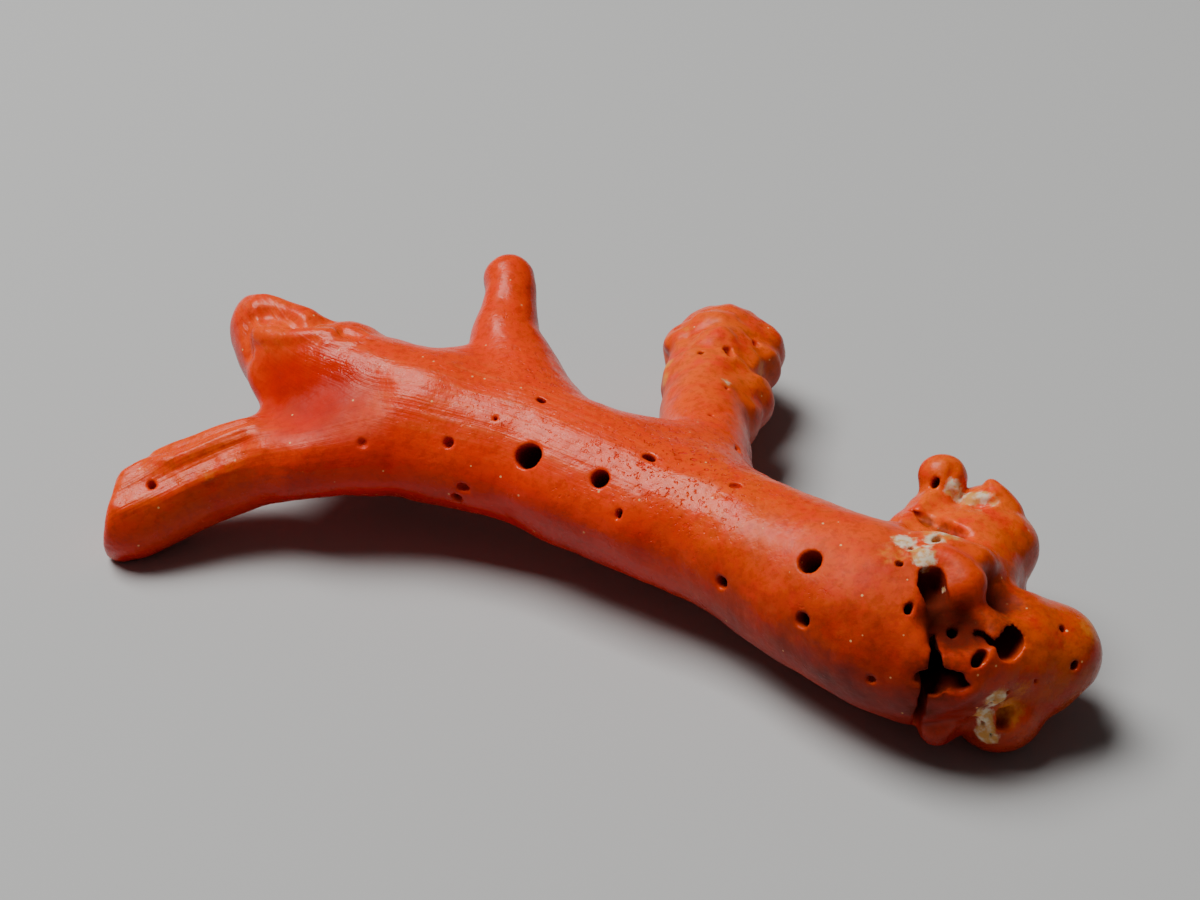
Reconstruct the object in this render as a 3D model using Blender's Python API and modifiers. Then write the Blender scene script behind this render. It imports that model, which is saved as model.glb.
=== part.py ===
"""A branch of red coral, lying on its side.

The polished skeleton is one natural growth: a stout trunk that forks at one end into a leg and a
broken stump, throws off a slim twig and a knobby branch, and ends at the other in the lumpy, bored
base where it once held on. Its solids are parted at those forks.

Stations, lumps and hollows are (x, y, z) on a sketch grid: X along the branch, Y away from its
front, Z up from the table that it lies on. One step of the grid is UNIT, and MIDDLE is the middle
of the footprint, which becomes the part's origin. A place on a limb is a share of its length from
the root, and an angle round it: 0 is the top, and it grows towards the right of someone who looks
from the limb's root to its tip.
"""

import math

import bmesh
import bpy
from mathutils import Matrix, Vector

UNIT = 0.001
MIDDLE = Vector((-1.32, -3.07, 0.0))
GAP = 0.3 * UNIT

WELD = 0.001 * UNIT

VOXEL = 0.2 * UNIT
SMOOTHING = 0.5
SMOOTHING_ROUNDS = 8
LUMP_SIZE = 2.6 * UNIT
LUMP_HEIGHT = 0.22 * UNIT
LUMP_DETAIL = 2
FACES_KEPT = 0.035

LIMB_SIDES = 7
DETAIL_SIDES = 3
TUBE_STEPS = 6
LUMP_SIDES = 20
LUMP_RINGS = 12
HOLLOW_SIDES = 10
HOLLOW_RINGS = 7
BORING_SIDES = 10
BORING_TAPER = 0.75
BORING_RISE = 0.8

CORAL_ROUGHNESS = 0.35
SHARP_ANGLE = math.radians(40)

# Each limb is a row of stations from its root to its tip: x, y, z and radius.
LIMBS = {
    "trunk": (
        (-10.5, 0.8, 5.3, 3.6),
        (-7.9, -0.1, 5.2, 3.65),
        (-3.4, -1.9, 5.1, 3.55),
        (-0.5, -3.8, 5.0, 3.55),
        (2.4, -5.7, 4.9, 3.45),
        (5.9, -8.2, 4.8, 3.4),
        (9.6, -11.3, 4.8, 3.8),
        (12.6, -13.7, 4.8, 4.1),
        (14.2, -15.0, 4.6, 3.8),
    ),
    "stump": (
        (-8.5, 0.4, 5.3, 3.5),
        (-11.6, 1.7, 5.4, 3.65),
        (-14.1, 3.3, 5.7, 3.2),
        (-15.9, 5.1, 6.1, 2.8),
        (-17.0, 6.8, 6.5, 2.2),
    ),
    "leg": (
        (-11.8, -0.6, 5.0, 2.7),
        (-14.8, -1.0, 4.6, 2.4),
        (-17.4, -1.0, 3.9, 2.3),
        (-20.4, -1.7, 3.0, 2.25),
        (-23.2, -2.8, 2.1, 2.2),
    ),
    "slim_twig": (
        (-3.6, -0.2, 5.4, 3.1),
        (-4.3, 2.6, 6.5, 2.45),
        (-4.8, 4.4, 7.4, 1.85),
        (-4.7, 5.8, 8.0, 1.5),
        (-4.6, 7.0, 8.6, 1.38),
        (-4.7, 8.1, 9.0, 1.36),
    ),
    "knobby_branch": (
        (4.8, -4.8, 4.8, 2.7),
        (5.2, -1.2, 4.6, 2.3),
        (5.3, 2.2, 4.3, 2.3),
        (6.0, 6.1, 3.8, 2.6),
        (6.6, 9.9, 3.1, 2.8),
    ),
}

# Lumps grown on to the limbs: centre and radius.
FORK_WEBS = (
    ((-2.6, -0.1, 5.6), 2.2),
    ((-0.8, -2.1, 5.3), 2.4),
    ((-7.0, 1.6, 5.8), 2.7),
    ((3.2, -3.4, 4.9), 2.6),
    ((1.6, -3.4, 5.0), 2.7),
    ((6.8, -6.5, 4.6), 2.3),
    ((-14.9, 0.4, 5.0), 2.1),
)
STUMP_LUMPS = (
    ((-17.6, 7.2, 7.1), 1.4),
    ((-16.6, 7.0, 6.9), 1.3),
    ((-12.6, 3.8, 6.9), 1.8),
)
KNOBS = (
    ((5.0, 9.2, 3.8), 1.6),
    ((8.4, 9.3, 3.8), 1.6),
    ((8.3, 7.8, 3.9), 1.35),
    ((7.35, 4.4, 4.0), 1.75),
    ((4.9, 5.5, 4.3), 1.65),
    ((6.3, 8.6, 4.8), 1.5),
    ((5.4, 6.6, 2.8), 1.9),
    ((5.0, 2.4, 3.2), 1.6),
    ((7.2, 10.2, 1.7), 1.8),
)
BASE_LUMPS = (
    ((14.6, -12.3, 4.9), 2.8),
    ((16.6, -10.6, 5.0), 2.8),
    ((18.0, -9.2, 5.1), 2.4),
    ((17.9, -8.2, 6.0), 1.6),
    ((17.6, -7.6, 7.0), 0.9),
    ((14.6, -9.6, 5.6), 1.7),
    ((15.2, -8.4, 6.1), 1.3),
    ((15.6, -6.8, 7.1), 1.2),
    ((16.1, -6.8, 7.0), 1.1),
    ((14.0, -12.7, 7.6), 0.9),
    ((14.9, -13.1, 7.9), 1.0),
    ((15.6, -13.9, 7.9), 1.05),
    ((16.0, -14.7, 7.6), 0.9),
    ((15.7, -15.4, 4.4), 3.5),
    ((18.0, -15.1, 4.1), 2.7),
    ((20.0, -15.1, 3.9), 2.1),
    ((19.1, -15.8, 3.2), 1.9),
    ((17.5, -16.3, 2.1), 2.2),
    ((15.2, -17.3, 2.3), 1.15),
    ((14.7, -17.6, 1.9), 0.9),
    ((17.4, -12.0, 3.3), 2.3),
    ((15.0, -11.0, 3.4), 2.1),
    ((19.2, -8.2, 3.9), 1.2),
    ((20.6, -14.0, 2.8), 1.4),
)

# Ridges stand on a limb and grooves run along it: share, angle, lift over the limb and radius.
RIDGES = {
    "leg": (
        ((0.12, 8, -0.1, 0.3), (0.4, 0, -0.05, 0.35), (0.72, -10, -0.05, 0.38), (0.97, -6, -0.1, 0.35)),
        ((0.1, -38, -0.1, 0.3), (0.4, -50, -0.05, 0.35), (0.7, -56, -0.1, 0.35)),
    ),
}
GROOVES = {
    "leg": (
        ((0.1, -18, 0.95, 0.8), (0.35, -22, 0.7, 0.85), (0.65, -28, 0.65, 0.85), (1.0, -30, 0.62, 0.85)),
        ((0.2, 24, 0.7, 0.6), (0.4, 20, 0.45, 0.6), (0.7, 14, 0.43, 0.6), (1.05, 16, 0.42, 0.6)),
    ),
    "stump": (
        (
            (0.42, -6, 0.85, 0.7),
            (0.54, -11, 0.5, 0.85),
            (0.68, -17, 0.3, 0.95),
            (0.8, -22, 0.35, 0.8),
            (0.88, -26, 0.75, 0.5),
        ),
    ),
}

# Borings by sponges and worms: share, angle, radius, depth and how far the mouth is drawn out.
BORINGS = {
    "trunk": (
        (0.30, 53, 0.74, 2.6, 1.0),
        (0.44, 44, 0.5, 2.2, 1.0),
        (0.82, 31, 0.55, 2.6, 0.95),
        (0.855, 70, 0.36, 2.2, 1.0),
        (0.705, 77, 0.34, 2.0, 1.0),
        (0.50, 64, 0.2, 1.0, 0.8),
        (0.49, 6, 0.3, 1.3, 1.4),
        (0.64, -5, 0.32, 0.5, 1.2),
        (0.27, -1, 0.22, 0.8, 1.5),
        (0.14, 60, 0.3, 1.4, 1.0),
        (0.18, 95, 0.4, 0.4, 1.1),
        (0.97, 86, 0.26, 0.4, 1.0),
        (0.36, -100, 0.45, 1.8, 1.0),
        (0.58, -130, 0.38, 1.4, 1.2),
        (0.22, 150, 0.4, 1.4, 1.0),
        (0.66, 165, 0.5, 1.8, 1.0),
        (0.86, -160, 0.42, 1.5, 1.1),
    ),
    "leg": (
        (0.02, -52, 0.34, 0.3, 1.0),
        (0.88, -29, 0.28, 0.9, 1.0),
        (0.55, 120, 0.3, 1.0, 1.0),
    ),
    "stump": (
        (0.43, 15, 0.7, 0.5, 1.6),
        (0.5, 110, 0.4, 1.2, 1.0),
    ),
    "slim_twig": (
        (0.55, 150, 0.22, 0.7, 1.0),
    ),
    "knobby_branch": (
        (0.66, -14, 0.15, 0.5, 1.0),
        (0.665, 18, 0.3, 0.8, 0.9),
        (0.82, 47, 0.2, 0.5, 1.0),
        (0.24, 5, 0.16, 0.4, 2.0),
        (0.03, 27, 0.18, 0.6, 1.4),
        (0.75, -110, 0.35, 1.2, 1.0),
        (0.45, 165, 0.3, 1.0, 1.0),
    ),
}

# Borings in the base: mouth, the way it faces, radius and depth.
BASE_BORINGS = (
    ((15.4, -7.2, 7.4), (0.0, -0.5, 0.9), 0.3, 1.0),
    ((19.8, -15.8, 5.8), (0.5, -0.3, 0.8), 0.18, 0.6),
    ((20.5, -16.8, 4.9), (0.3, -0.8, 0.5), 0.2, 0.7),
    ((17.6, -18.2, 4.2), (0.5, -0.8, 0.0), 0.2, 0.6),
    ((13.1, -16.7, 7.7), (-0.2, -0.5, 0.8), 0.28, 1.4),
    ((14.6, -17.7, 7.0), (0.1, -0.7, 0.7), 0.32, 1.3),
    ((16.1, -18.3, 6.1), (0.1, -0.8, 0.6), 0.45, 1.8),
    ((12.8, -14.5, 8.6), (0.0, -0.2, 1.0), 0.22, 0.7),
    ((13.1, -13.7, 8.6), (0.1, 0.1, 1.0), 0.18, 0.5),
    ((14.6, -10.9, 7.2), (-0.4, 0.0, 0.9), 0.32, 1.0),
    ((17.0, -18.3, 2.6), (0.0, -1.0, -0.1), 0.5, 0.7),
    ((16.3, -18.6, 3.6), (0.1, -1.0, 0.0), 0.35, 0.5),
    ((18.9, -8.9, 3.2), (0.8, 0.5, -0.3), 0.45, 1.4),
    ((21.2, -14.0, 3.0), (0.8, 0.5, -0.2), 0.3, 1.0),
    ((15.6, -12.0, 1.9), (0.1, 0.3, -1.0), 0.6, 1.6),
    ((17.2, -13.6, 1.4), (0.2, 0.2, -1.0), 0.4, 1.2),
)

BASE_RUN = Vector((1.0, 0.0, 0.1))

# Hollows eaten out of the base, and the crack beside it: centre and half-lengths along X, Y and Z.
BASE_HOLLOWS = (
    ((13.6, -15.3, 8.1), (0.75, 0.9, 1.5)),
    ((14.3, -15.1, 8.0), (0.75, 0.7, 1.3)),
    ((13.6, -16.1, 7.9), (0.5, 0.6, 1.0)),
    ((15.1, -16.7, 8.7), (2.0, 1.25, 1.6)),
    ((16.9, -17.6, 6.8), (0.9, 1.2, 0.75)),
    ((17.4, -17.0, 6.5), (0.75, 1.5, 0.7)),
    ((13.9, -18.6, 6.2), (0.5, 2.0, 0.6)),
    ((14.6, -18.7, 5.7), (0.95, 2.2, 0.5)),
    ((15.1, -18.7, 5.4), (0.7, 1.8, 0.4)),
    ((17.2, -9.2, 8.1), (0.85, 0.5, 1.0)),
    ((16.6, -8.1, 7.9), (0.45, 0.5, 0.9)),
    ((19.9, -12.1, 4.2), (1.0, 0.7, 0.8)),
    ((15.2, -13.4, 0.9), (1.6, 1.1, 0.9)),
    ((16.9, -7.0, 4.0), (0.6, 0.9, 0.5)),
    ((13.7, -19.2, 3.4), (0.24, 2.6, 2.7)),
)

# Grooves in the base: stations of x, y, z and radius.
BASE_GROOVES = (
    ((14.8, -9.2, 7.3, 0.4), (15.5, -10.2, 7.6, 0.55), (16.3, -11.4, 8.0, 0.45)),
    ((16.7, -13.0, 7.9, 0.45), (17.0, -14.2, 7.9, 0.5), (18.2, -14.3, 7.2, 0.5)),
)

# Flat breaks: a point on the break and the way it faces.
BREAKS = (
    ((-24.1, -3.0, 2.2), (-0.95, -0.1, 0.28)),
    ((-15.3, 6.9, 7.4), (0.4, 0.75, 0.55)),
    ((-19.0, 7.6, 6.0), (-0.75, 0.65, -0.1)),
)
BREAK_SIZE = 6.0

TABLE_SIZE = 60.0

# The cuts that part the nodes, in plan: from (x, y) to (x, y).
FORK_CUTS = (
    ((-18.3, 2.0), (-13.0, -6.0)),
    ((-18.3, 2.0), (-8.2, 7.2)),
    ((-8.8, 5.0), (0.2, 3.4)),
    ((1.2, 1.6), (9.6, -4.2)),
    ((12.4, -7.6), (10.2, -20.0)),
)
CUT_HEIGHT = 24.0

# A place in each body that the cuts leave, and its colour, from deep red to orange.
NODE_MARKS = {
    "trunk": (2.4, -5.7, 4.9),
    "stump": (-17.0, 6.8, 6.5),
    "leg": (-23.2, -2.8, 2.1),
    "slim_twig": (-4.7, 8.1, 9.0),
    "knobby_branch": (6.6, 9.9, 3.1),
    "base": (20.0, -15.1, 3.9),
}
NODE_COLOURS = {
    "trunk": (0.56, 0.06, 0.012, 1.0),
    "stump": (0.60, 0.045, 0.01, 1.0),
    "leg": (0.66, 0.075, 0.02, 1.0),
    "slim_twig": (0.72, 0.11, 0.03, 1.0),
    "knobby_branch": (0.78, 0.13, 0.03, 1.0),
    "base": (0.50, 0.055, 0.012, 1.0),
}


def clear_scene():
    """Removes whatever objects the file opened with."""
    for obj in list(bpy.data.objects):
        bpy.data.objects.remove(obj)


def new_collection(name):
    collection = bpy.data.collections.new(name)
    bpy.context.scene.collection.children.link(collection)
    return collection


def coral_material(name, colour):
    material = bpy.data.materials.new(name)
    material.use_nodes = True
    shader = material.node_tree.nodes["Principled BSDF"]
    shader.inputs["Base Color"].default_value = colour
    shader.inputs["Roughness"].default_value = CORAL_ROUGHNESS
    shader.inputs["Metallic"].default_value = 0.0
    return material


def place(x, y, z):
    """A point of the sketch grid, in metres from the part's origin."""
    return (Vector((x, y, z)) - MIDDLE) * UNIT


def on_limb(limb, share, angle, lift=0.0):
    """A point over a limb's surface, the way out from there and the limb's axis."""
    stations = LIMBS[limb]
    points = [Vector(station[:3]) for station in stations]
    steps = [(end - start).length for start, end in zip(points, points[1:])]
    along = share * sum(steps)
    index = 0
    while along > steps[index] and index < len(steps) - 1:
        along -= steps[index]
        index += 1
    ratio = along / steps[index]
    centre = points[index].lerp(points[index + 1], ratio)
    radius = stations[index][3] * (1 - ratio) + stations[index + 1][3] * ratio
    axis = (points[index + 1] - points[index]).normalized()
    right = axis.cross(Vector((0, 0, 1))).normalized()
    top = right.cross(axis)
    turn = math.radians(angle)
    outward = top * math.cos(turn) + right * math.sin(turn)
    return centre + outward * (radius + lift), outward, axis


def tube_mesh(name, stations, sides):
    """A closed tube through stations of x, y, z and radius."""
    curve = bpy.data.curves.new(name, "CURVE")
    curve.dimensions = "3D"
    curve.bevel_depth = UNIT
    curve.bevel_resolution = sides
    curve.resolution_u = TUBE_STEPS
    curve.use_fill_caps = True
    spline = curve.splines.new("BEZIER")
    spline.radius_interpolation = "CARDINAL"
    spline.bezier_points.add(len(stations) - 1)
    for point, (x, y, z, radius) in zip(spline.bezier_points, stations):
        point.co = place(x, y, z)
        point.radius = radius
        point.handle_left_type = "AUTO"
        point.handle_right_type = "AUTO"
    obj = bpy.data.objects.new(name, curve)
    bpy.context.scene.collection.objects.link(obj)
    graph = bpy.context.evaluated_depsgraph_get()
    mesh = bpy.data.meshes.new_from_object(obj.evaluated_get(graph))
    bpy.data.objects.remove(obj)
    return mesh


def surface_stations(limb, path):
    """The stations of a ridge or groove that follows a limb's surface."""
    stations = []
    for share, angle, lift, radius in path:
        point, _, _ = on_limb(limb, share, angle, lift)
        stations.append((*point, radius))
    return stations


def add_tube(form, stations, sides):
    """Adds a tube to the form, with a ball at each end."""
    tube = tube_mesh("tube", stations, sides)
    form.from_mesh(tube)
    bpy.data.meshes.remove(tube)
    for x, y, z, radius in (stations[0], stations[-1]):
        add_ball(form, (x, y, z), radius)


def add_ball(form, centre, radius):
    bmesh.ops.create_uvsphere(
        form,
        u_segments=LUMP_SIDES,
        v_segments=LUMP_RINGS,
        radius=radius * UNIT,
        matrix=Matrix.Translation(place(*centre)),
    )


def grown_form():
    """Every limb, lump and ridge as overlapping closed shells in one mesh."""
    form = bmesh.new()
    for stations in LIMBS.values():
        add_tube(form, stations, LIMB_SIDES)
    for limb, ridges in RIDGES.items():
        for path in ridges:
            add_tube(form, surface_stations(limb, path), DETAIL_SIDES)
    for lumps in (FORK_WEBS, STUMP_LUMPS, KNOBS, BASE_LUMPS):
        for centre, radius in lumps:
            add_ball(form, centre, radius)
    bmesh.ops.remove_doubles(form, verts=form.verts, dist=WELD)
    mesh = bpy.data.meshes.new("grown_form")
    form.to_mesh(mesh)
    form.free()
    return mesh


def add_cutter(cutters, name, form):
    """Makes a cutter object of a form, and frees the form."""
    bmesh.ops.recalc_face_normals(form, faces=form.faces)
    mesh = bpy.data.meshes.new(name)
    form.to_mesh(mesh)
    form.free()
    obj = bpy.data.objects.new(name, mesh)
    obj.hide_render = True
    obj.display_type = "WIRE"
    cutters.objects.link(obj)


def cut_boring(cutters, name, mouth, outward, along, radius, depth, stretch=1.0):
    """A tapered hole from above the surface down to its depth."""
    across = outward.cross(along).normalized()
    along = across.cross(outward)
    turn = Matrix((along, across, outward)).transposed().to_4x4()
    length = (depth + BORING_RISE) * UNIT
    middle = mouth + outward * (BORING_RISE - depth) / 2
    form = bmesh.new()
    bmesh.ops.create_cone(
        form,
        cap_ends=True,
        segments=BORING_SIDES,
        radius1=radius * BORING_TAPER * UNIT,
        radius2=radius * UNIT,
        depth=length,
        matrix=Matrix.Translation(place(*middle)) @ turn @ Matrix.Diagonal((stretch, 1, 1, 1)),
    )
    add_cutter(cutters, name, form)


def cut_box(cutters, name, centre, size, turn=None):
    """A box of the given size, turned about its centre."""
    form = bmesh.new()
    matrix = Matrix.Translation(place(*centre))
    if turn:
        matrix = matrix @ turn
    bmesh.ops.create_cube(
        form,
        size=UNIT,
        matrix=matrix @ Matrix.Diagonal((*size, 1)),
    )
    add_cutter(cutters, name, form)


def cut_hollow(cutters, name, centre, half_lengths):
    form = bmesh.new()
    bmesh.ops.create_uvsphere(
        form,
        u_segments=HOLLOW_SIDES,
        v_segments=HOLLOW_RINGS,
        radius=UNIT,
        matrix=Matrix.Translation(place(*centre)) @ Matrix.Diagonal((*half_lengths, 1)),
    )
    add_cutter(cutters, name, form)


def cut_groove(cutters, name, stations):
    """A round-bottomed groove along the stations."""
    tube = tube_mesh(name, stations, DETAIL_SIDES)
    form = bmesh.new()
    form.from_mesh(tube)
    bpy.data.meshes.remove(tube)
    bmesh.ops.remove_doubles(form, verts=form.verts, dist=WELD)
    add_cutter(cutters, name, form)


def make_hollow_cutters():
    """Everything that is taken out of the grown form: borings, hollows, grooves and breaks."""
    cutters = new_collection("hollow_cutters")
    for limb, borings in BORINGS.items():
        for number, (share, angle, radius, depth, stretch) in enumerate(borings, 1):
            mouth, outward, axis = on_limb(limb, share, angle)
            cut_boring(cutters, f"{limb}_boring_{number}", mouth, outward, axis, radius, depth, stretch)
    for number, (mouth, facing, radius, depth) in enumerate(BASE_BORINGS, 1):
        outward = Vector(facing).normalized()
        cut_boring(cutters, f"base_boring_{number}", Vector(mouth), outward, BASE_RUN, radius, depth)
    for number, (centre, half_lengths) in enumerate(BASE_HOLLOWS, 1):
        cut_hollow(cutters, f"base_hollow_{number}", centre, half_lengths)
    for limb, grooves in GROOVES.items():
        for number, path in enumerate(grooves, 1):
            cut_groove(cutters, f"{limb}_groove_{number}", surface_stations(limb, path))
    for number, stations in enumerate(BASE_GROOVES, 1):
        cut_groove(cutters, f"base_groove_{number}", stations)
    for number, (point, facing) in enumerate(BREAKS, 1):
        outward = Vector(facing).normalized()
        turn = outward.to_track_quat("Z", "Y").to_matrix().to_4x4()
        centre = Vector(point) + outward * BREAK_SIZE / 2
        cut_box(cutters, f"break_{number}", centre, (BREAK_SIZE, BREAK_SIZE, BREAK_SIZE), turn)
    cut_box(
        cutters,
        "table",
        Vector((MIDDLE.x, MIDDLE.y, -CUT_HEIGHT / 2)),
        (TABLE_SIZE, TABLE_SIZE, CUT_HEIGHT),
    )
    return cutters


def make_fork_cutters():
    """A thin upright saw for each fork."""
    cutters = new_collection("fork_cutters")
    for number, ends in enumerate(FORK_CUTS, 1):
        start, end = (Vector((x, y, 0)) for x, y in ends)
        across = end - start
        turn = Matrix.Rotation(math.atan2(across.y, across.x), 4, "Z")
        cut_box(
            cutters,
            f"fork_cut_{number}",
            (start + end) / 2,
            (across.length, GAP / UNIT, CUT_HEIGHT * 2),
            turn,
        )
    return cutters


def add_difference(obj, name, cutters):
    cut = obj.modifiers.new(name, "BOOLEAN")
    cut.operation = "DIFFERENCE"
    cut.solver = "EXACT"
    cut.operand_type = "COLLECTION"
    cut.collection = cutters


def carved_mesh():
    """The grown form fused, given its unevenness, hollowed and cut at its forks."""
    obj = bpy.data.objects.new("carving", grown_form())
    bpy.context.scene.collection.objects.link(obj)
    fuse = obj.modifiers.new("fuse", "REMESH")
    fuse.mode = "VOXEL"
    fuse.voxel_size = VOXEL
    fuse.adaptivity = 0.0
    clouds = bpy.data.textures.new("uneven_growth", "CLOUDS")
    clouds.noise_scale = LUMP_SIZE
    clouds.noise_depth = LUMP_DETAIL
    uneven = obj.modifiers.new("uneven", "DISPLACE")
    uneven.texture = clouds
    uneven.texture_coords = "GLOBAL"
    uneven.strength = LUMP_HEIGHT
    soften = obj.modifiers.new("soften", "SMOOTH")
    soften.factor = SMOOTHING
    soften.iterations = SMOOTHING_ROUNDS
    thin = obj.modifiers.new("thin", "DECIMATE")
    thin.ratio = FACES_KEPT
    add_difference(obj, "hollows", make_hollow_cutters())
    add_difference(obj, "forks", make_fork_cutters())
    graph = bpy.context.evaluated_depsgraph_get()
    mesh = bpy.data.meshes.new_from_object(obj.evaluated_get(graph))
    bpy.data.objects.remove(obj)
    return mesh


def node_name(obj):
    """The node whose mark lies nearest to the body."""
    points = [obj.matrix_world @ vertex.co for vertex in obj.data.vertices]

    def nearest(name):
        mark = place(*NODE_MARKS[name])
        return min((point - mark).length for point in points)

    return min(NODE_MARKS, key=nearest)


def make_nodes(coral):
    """Makes an object of each body that the fork cuts leave."""
    whole = bpy.data.objects.new("whole", carved_mesh())
    coral.objects.link(whole)
    bpy.context.view_layer.objects.active = whole
    whole.select_set(True)
    bpy.ops.mesh.separate(type="LOOSE")
    for obj in list(coral.objects):
        name = node_name(obj)
        obj.name = name
        obj.data.name = name
        obj.data.materials.clear()
        obj.data.materials.append(coral_material(f"{name}_coral", NODE_COLOURS[name]))
        obj.data.shade_smooth()
        obj.data.set_sharp_from_angle(angle=SHARP_ANGLE)


def main():
    clear_scene()
    make_nodes(new_collection("red_coral"))


main()
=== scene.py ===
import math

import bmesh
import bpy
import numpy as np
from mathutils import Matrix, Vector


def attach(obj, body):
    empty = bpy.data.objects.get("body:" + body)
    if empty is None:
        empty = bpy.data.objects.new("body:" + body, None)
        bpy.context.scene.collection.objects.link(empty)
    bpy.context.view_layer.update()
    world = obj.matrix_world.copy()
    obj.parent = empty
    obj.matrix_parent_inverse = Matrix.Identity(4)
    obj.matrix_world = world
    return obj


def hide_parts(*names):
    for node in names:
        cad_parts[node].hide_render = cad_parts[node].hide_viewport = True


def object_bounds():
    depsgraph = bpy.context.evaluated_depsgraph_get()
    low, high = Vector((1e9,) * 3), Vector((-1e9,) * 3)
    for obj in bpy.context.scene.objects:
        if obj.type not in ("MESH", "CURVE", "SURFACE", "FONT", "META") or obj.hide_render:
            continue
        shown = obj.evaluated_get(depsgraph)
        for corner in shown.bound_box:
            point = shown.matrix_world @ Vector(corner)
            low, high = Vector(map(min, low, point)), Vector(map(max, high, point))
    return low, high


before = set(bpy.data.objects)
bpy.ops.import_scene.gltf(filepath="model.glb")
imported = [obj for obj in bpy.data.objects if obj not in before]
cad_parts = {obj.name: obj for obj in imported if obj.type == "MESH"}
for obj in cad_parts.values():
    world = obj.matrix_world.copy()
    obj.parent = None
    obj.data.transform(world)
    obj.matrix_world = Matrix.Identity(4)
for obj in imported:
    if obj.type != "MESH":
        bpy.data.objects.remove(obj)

# The looks of the branch of red coral. The coral is one growth, so one piece stands for all the nodes.
# It is grown as a distance field on a grid of millimetres (X along the branch, Y away from its front,
# Z up from the table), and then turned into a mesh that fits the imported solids.
# An angle round a limb is 0 at the top and grows towards the right of someone who looks from its root
# to its tip. A place on a limb is a share of its length.

MM = 0.001
NODES = ("trunk", "stump", "leg", "slim_twig", "knobby_branch", "base")
cad_low, cad_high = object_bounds()

# The grid, in millimetres, and the middle of what grows on it.
STEP = 0.1
GRID_LOW = (-26.0, -19.9, -0.6)
GRID_HIGH = (23.4, 14.0, 11.6)
GROWN_MIDDLE = np.array((-1.295, -3.11, 0.0))
FAR = 3.0  # the distance at a place far from everything
REACH = 1.6  # how far round a shape its fillets are worked out
MOST_TRIANGLES = 190000
INSET = 0.004  # room left inside the CAD's box

# Limbs: stations of x, y, z and radius.
LIMBS = {
    "trunk": (
        (-10.5, 0.8, 5.3, 3.6),
        (-7.9, -0.1, 5.2, 3.65),
        (-3.4, -1.9, 5.1, 3.55),
        (-0.5, -3.8, 5.0, 3.55),
        (2.4, -5.7, 4.9, 3.45),
        (5.9, -8.2, 4.8, 3.4),
        (9.6, -11.4, 4.72, 3.7),
        (12.6, -13.8, 4.75, 4.02),
        (14.2, -15.0, 4.6, 3.8),
    ),
    "stump": (
        (-8.5, 0.4, 5.3, 3.5),
        (-11.6, 1.7, 5.4, 3.65),
        (-14.1, 3.3, 5.7, 3.2),
        (-15.8, 5.1, 6.1, 2.65),
        (-17.0, 6.8, 6.5, 2.2),
    ),
    "leg": (
        (-11.8, -0.6, 5.0, 2.7),
        (-14.8, -1.0, 4.6, 2.4),
        (-17.4, -1.0, 3.9, 2.3),
        (-20.4, -1.7, 3.0, 2.25),
        (-23.2, -2.8, 2.1, 2.2),
    ),
    "slim_twig": (
        (-3.6, -0.2, 5.4, 3.1),
        (-4.3, 2.6, 6.5, 2.45),
        (-4.8, 4.4, 7.4, 1.85),
        (-4.7, 5.8, 8.0, 1.5),
        (-4.6, 7.0, 8.55, 1.36),
        (-4.7, 8.1, 8.9, 1.34),
    ),
    "knobby_branch": (
        (4.8, -4.8, 4.8, 2.7),
        (5.2, -1.2, 4.6, 2.3),
        (5.3, 2.2, 4.3, 2.3),
        (6.0, 6.1, 3.8, 2.6),
        (6.6, 9.9, 3.1, 2.8),
    ),
}
SPAN_STEPS = 8
FORK_BLEND = 1.0
TINY = 1e-6

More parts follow.
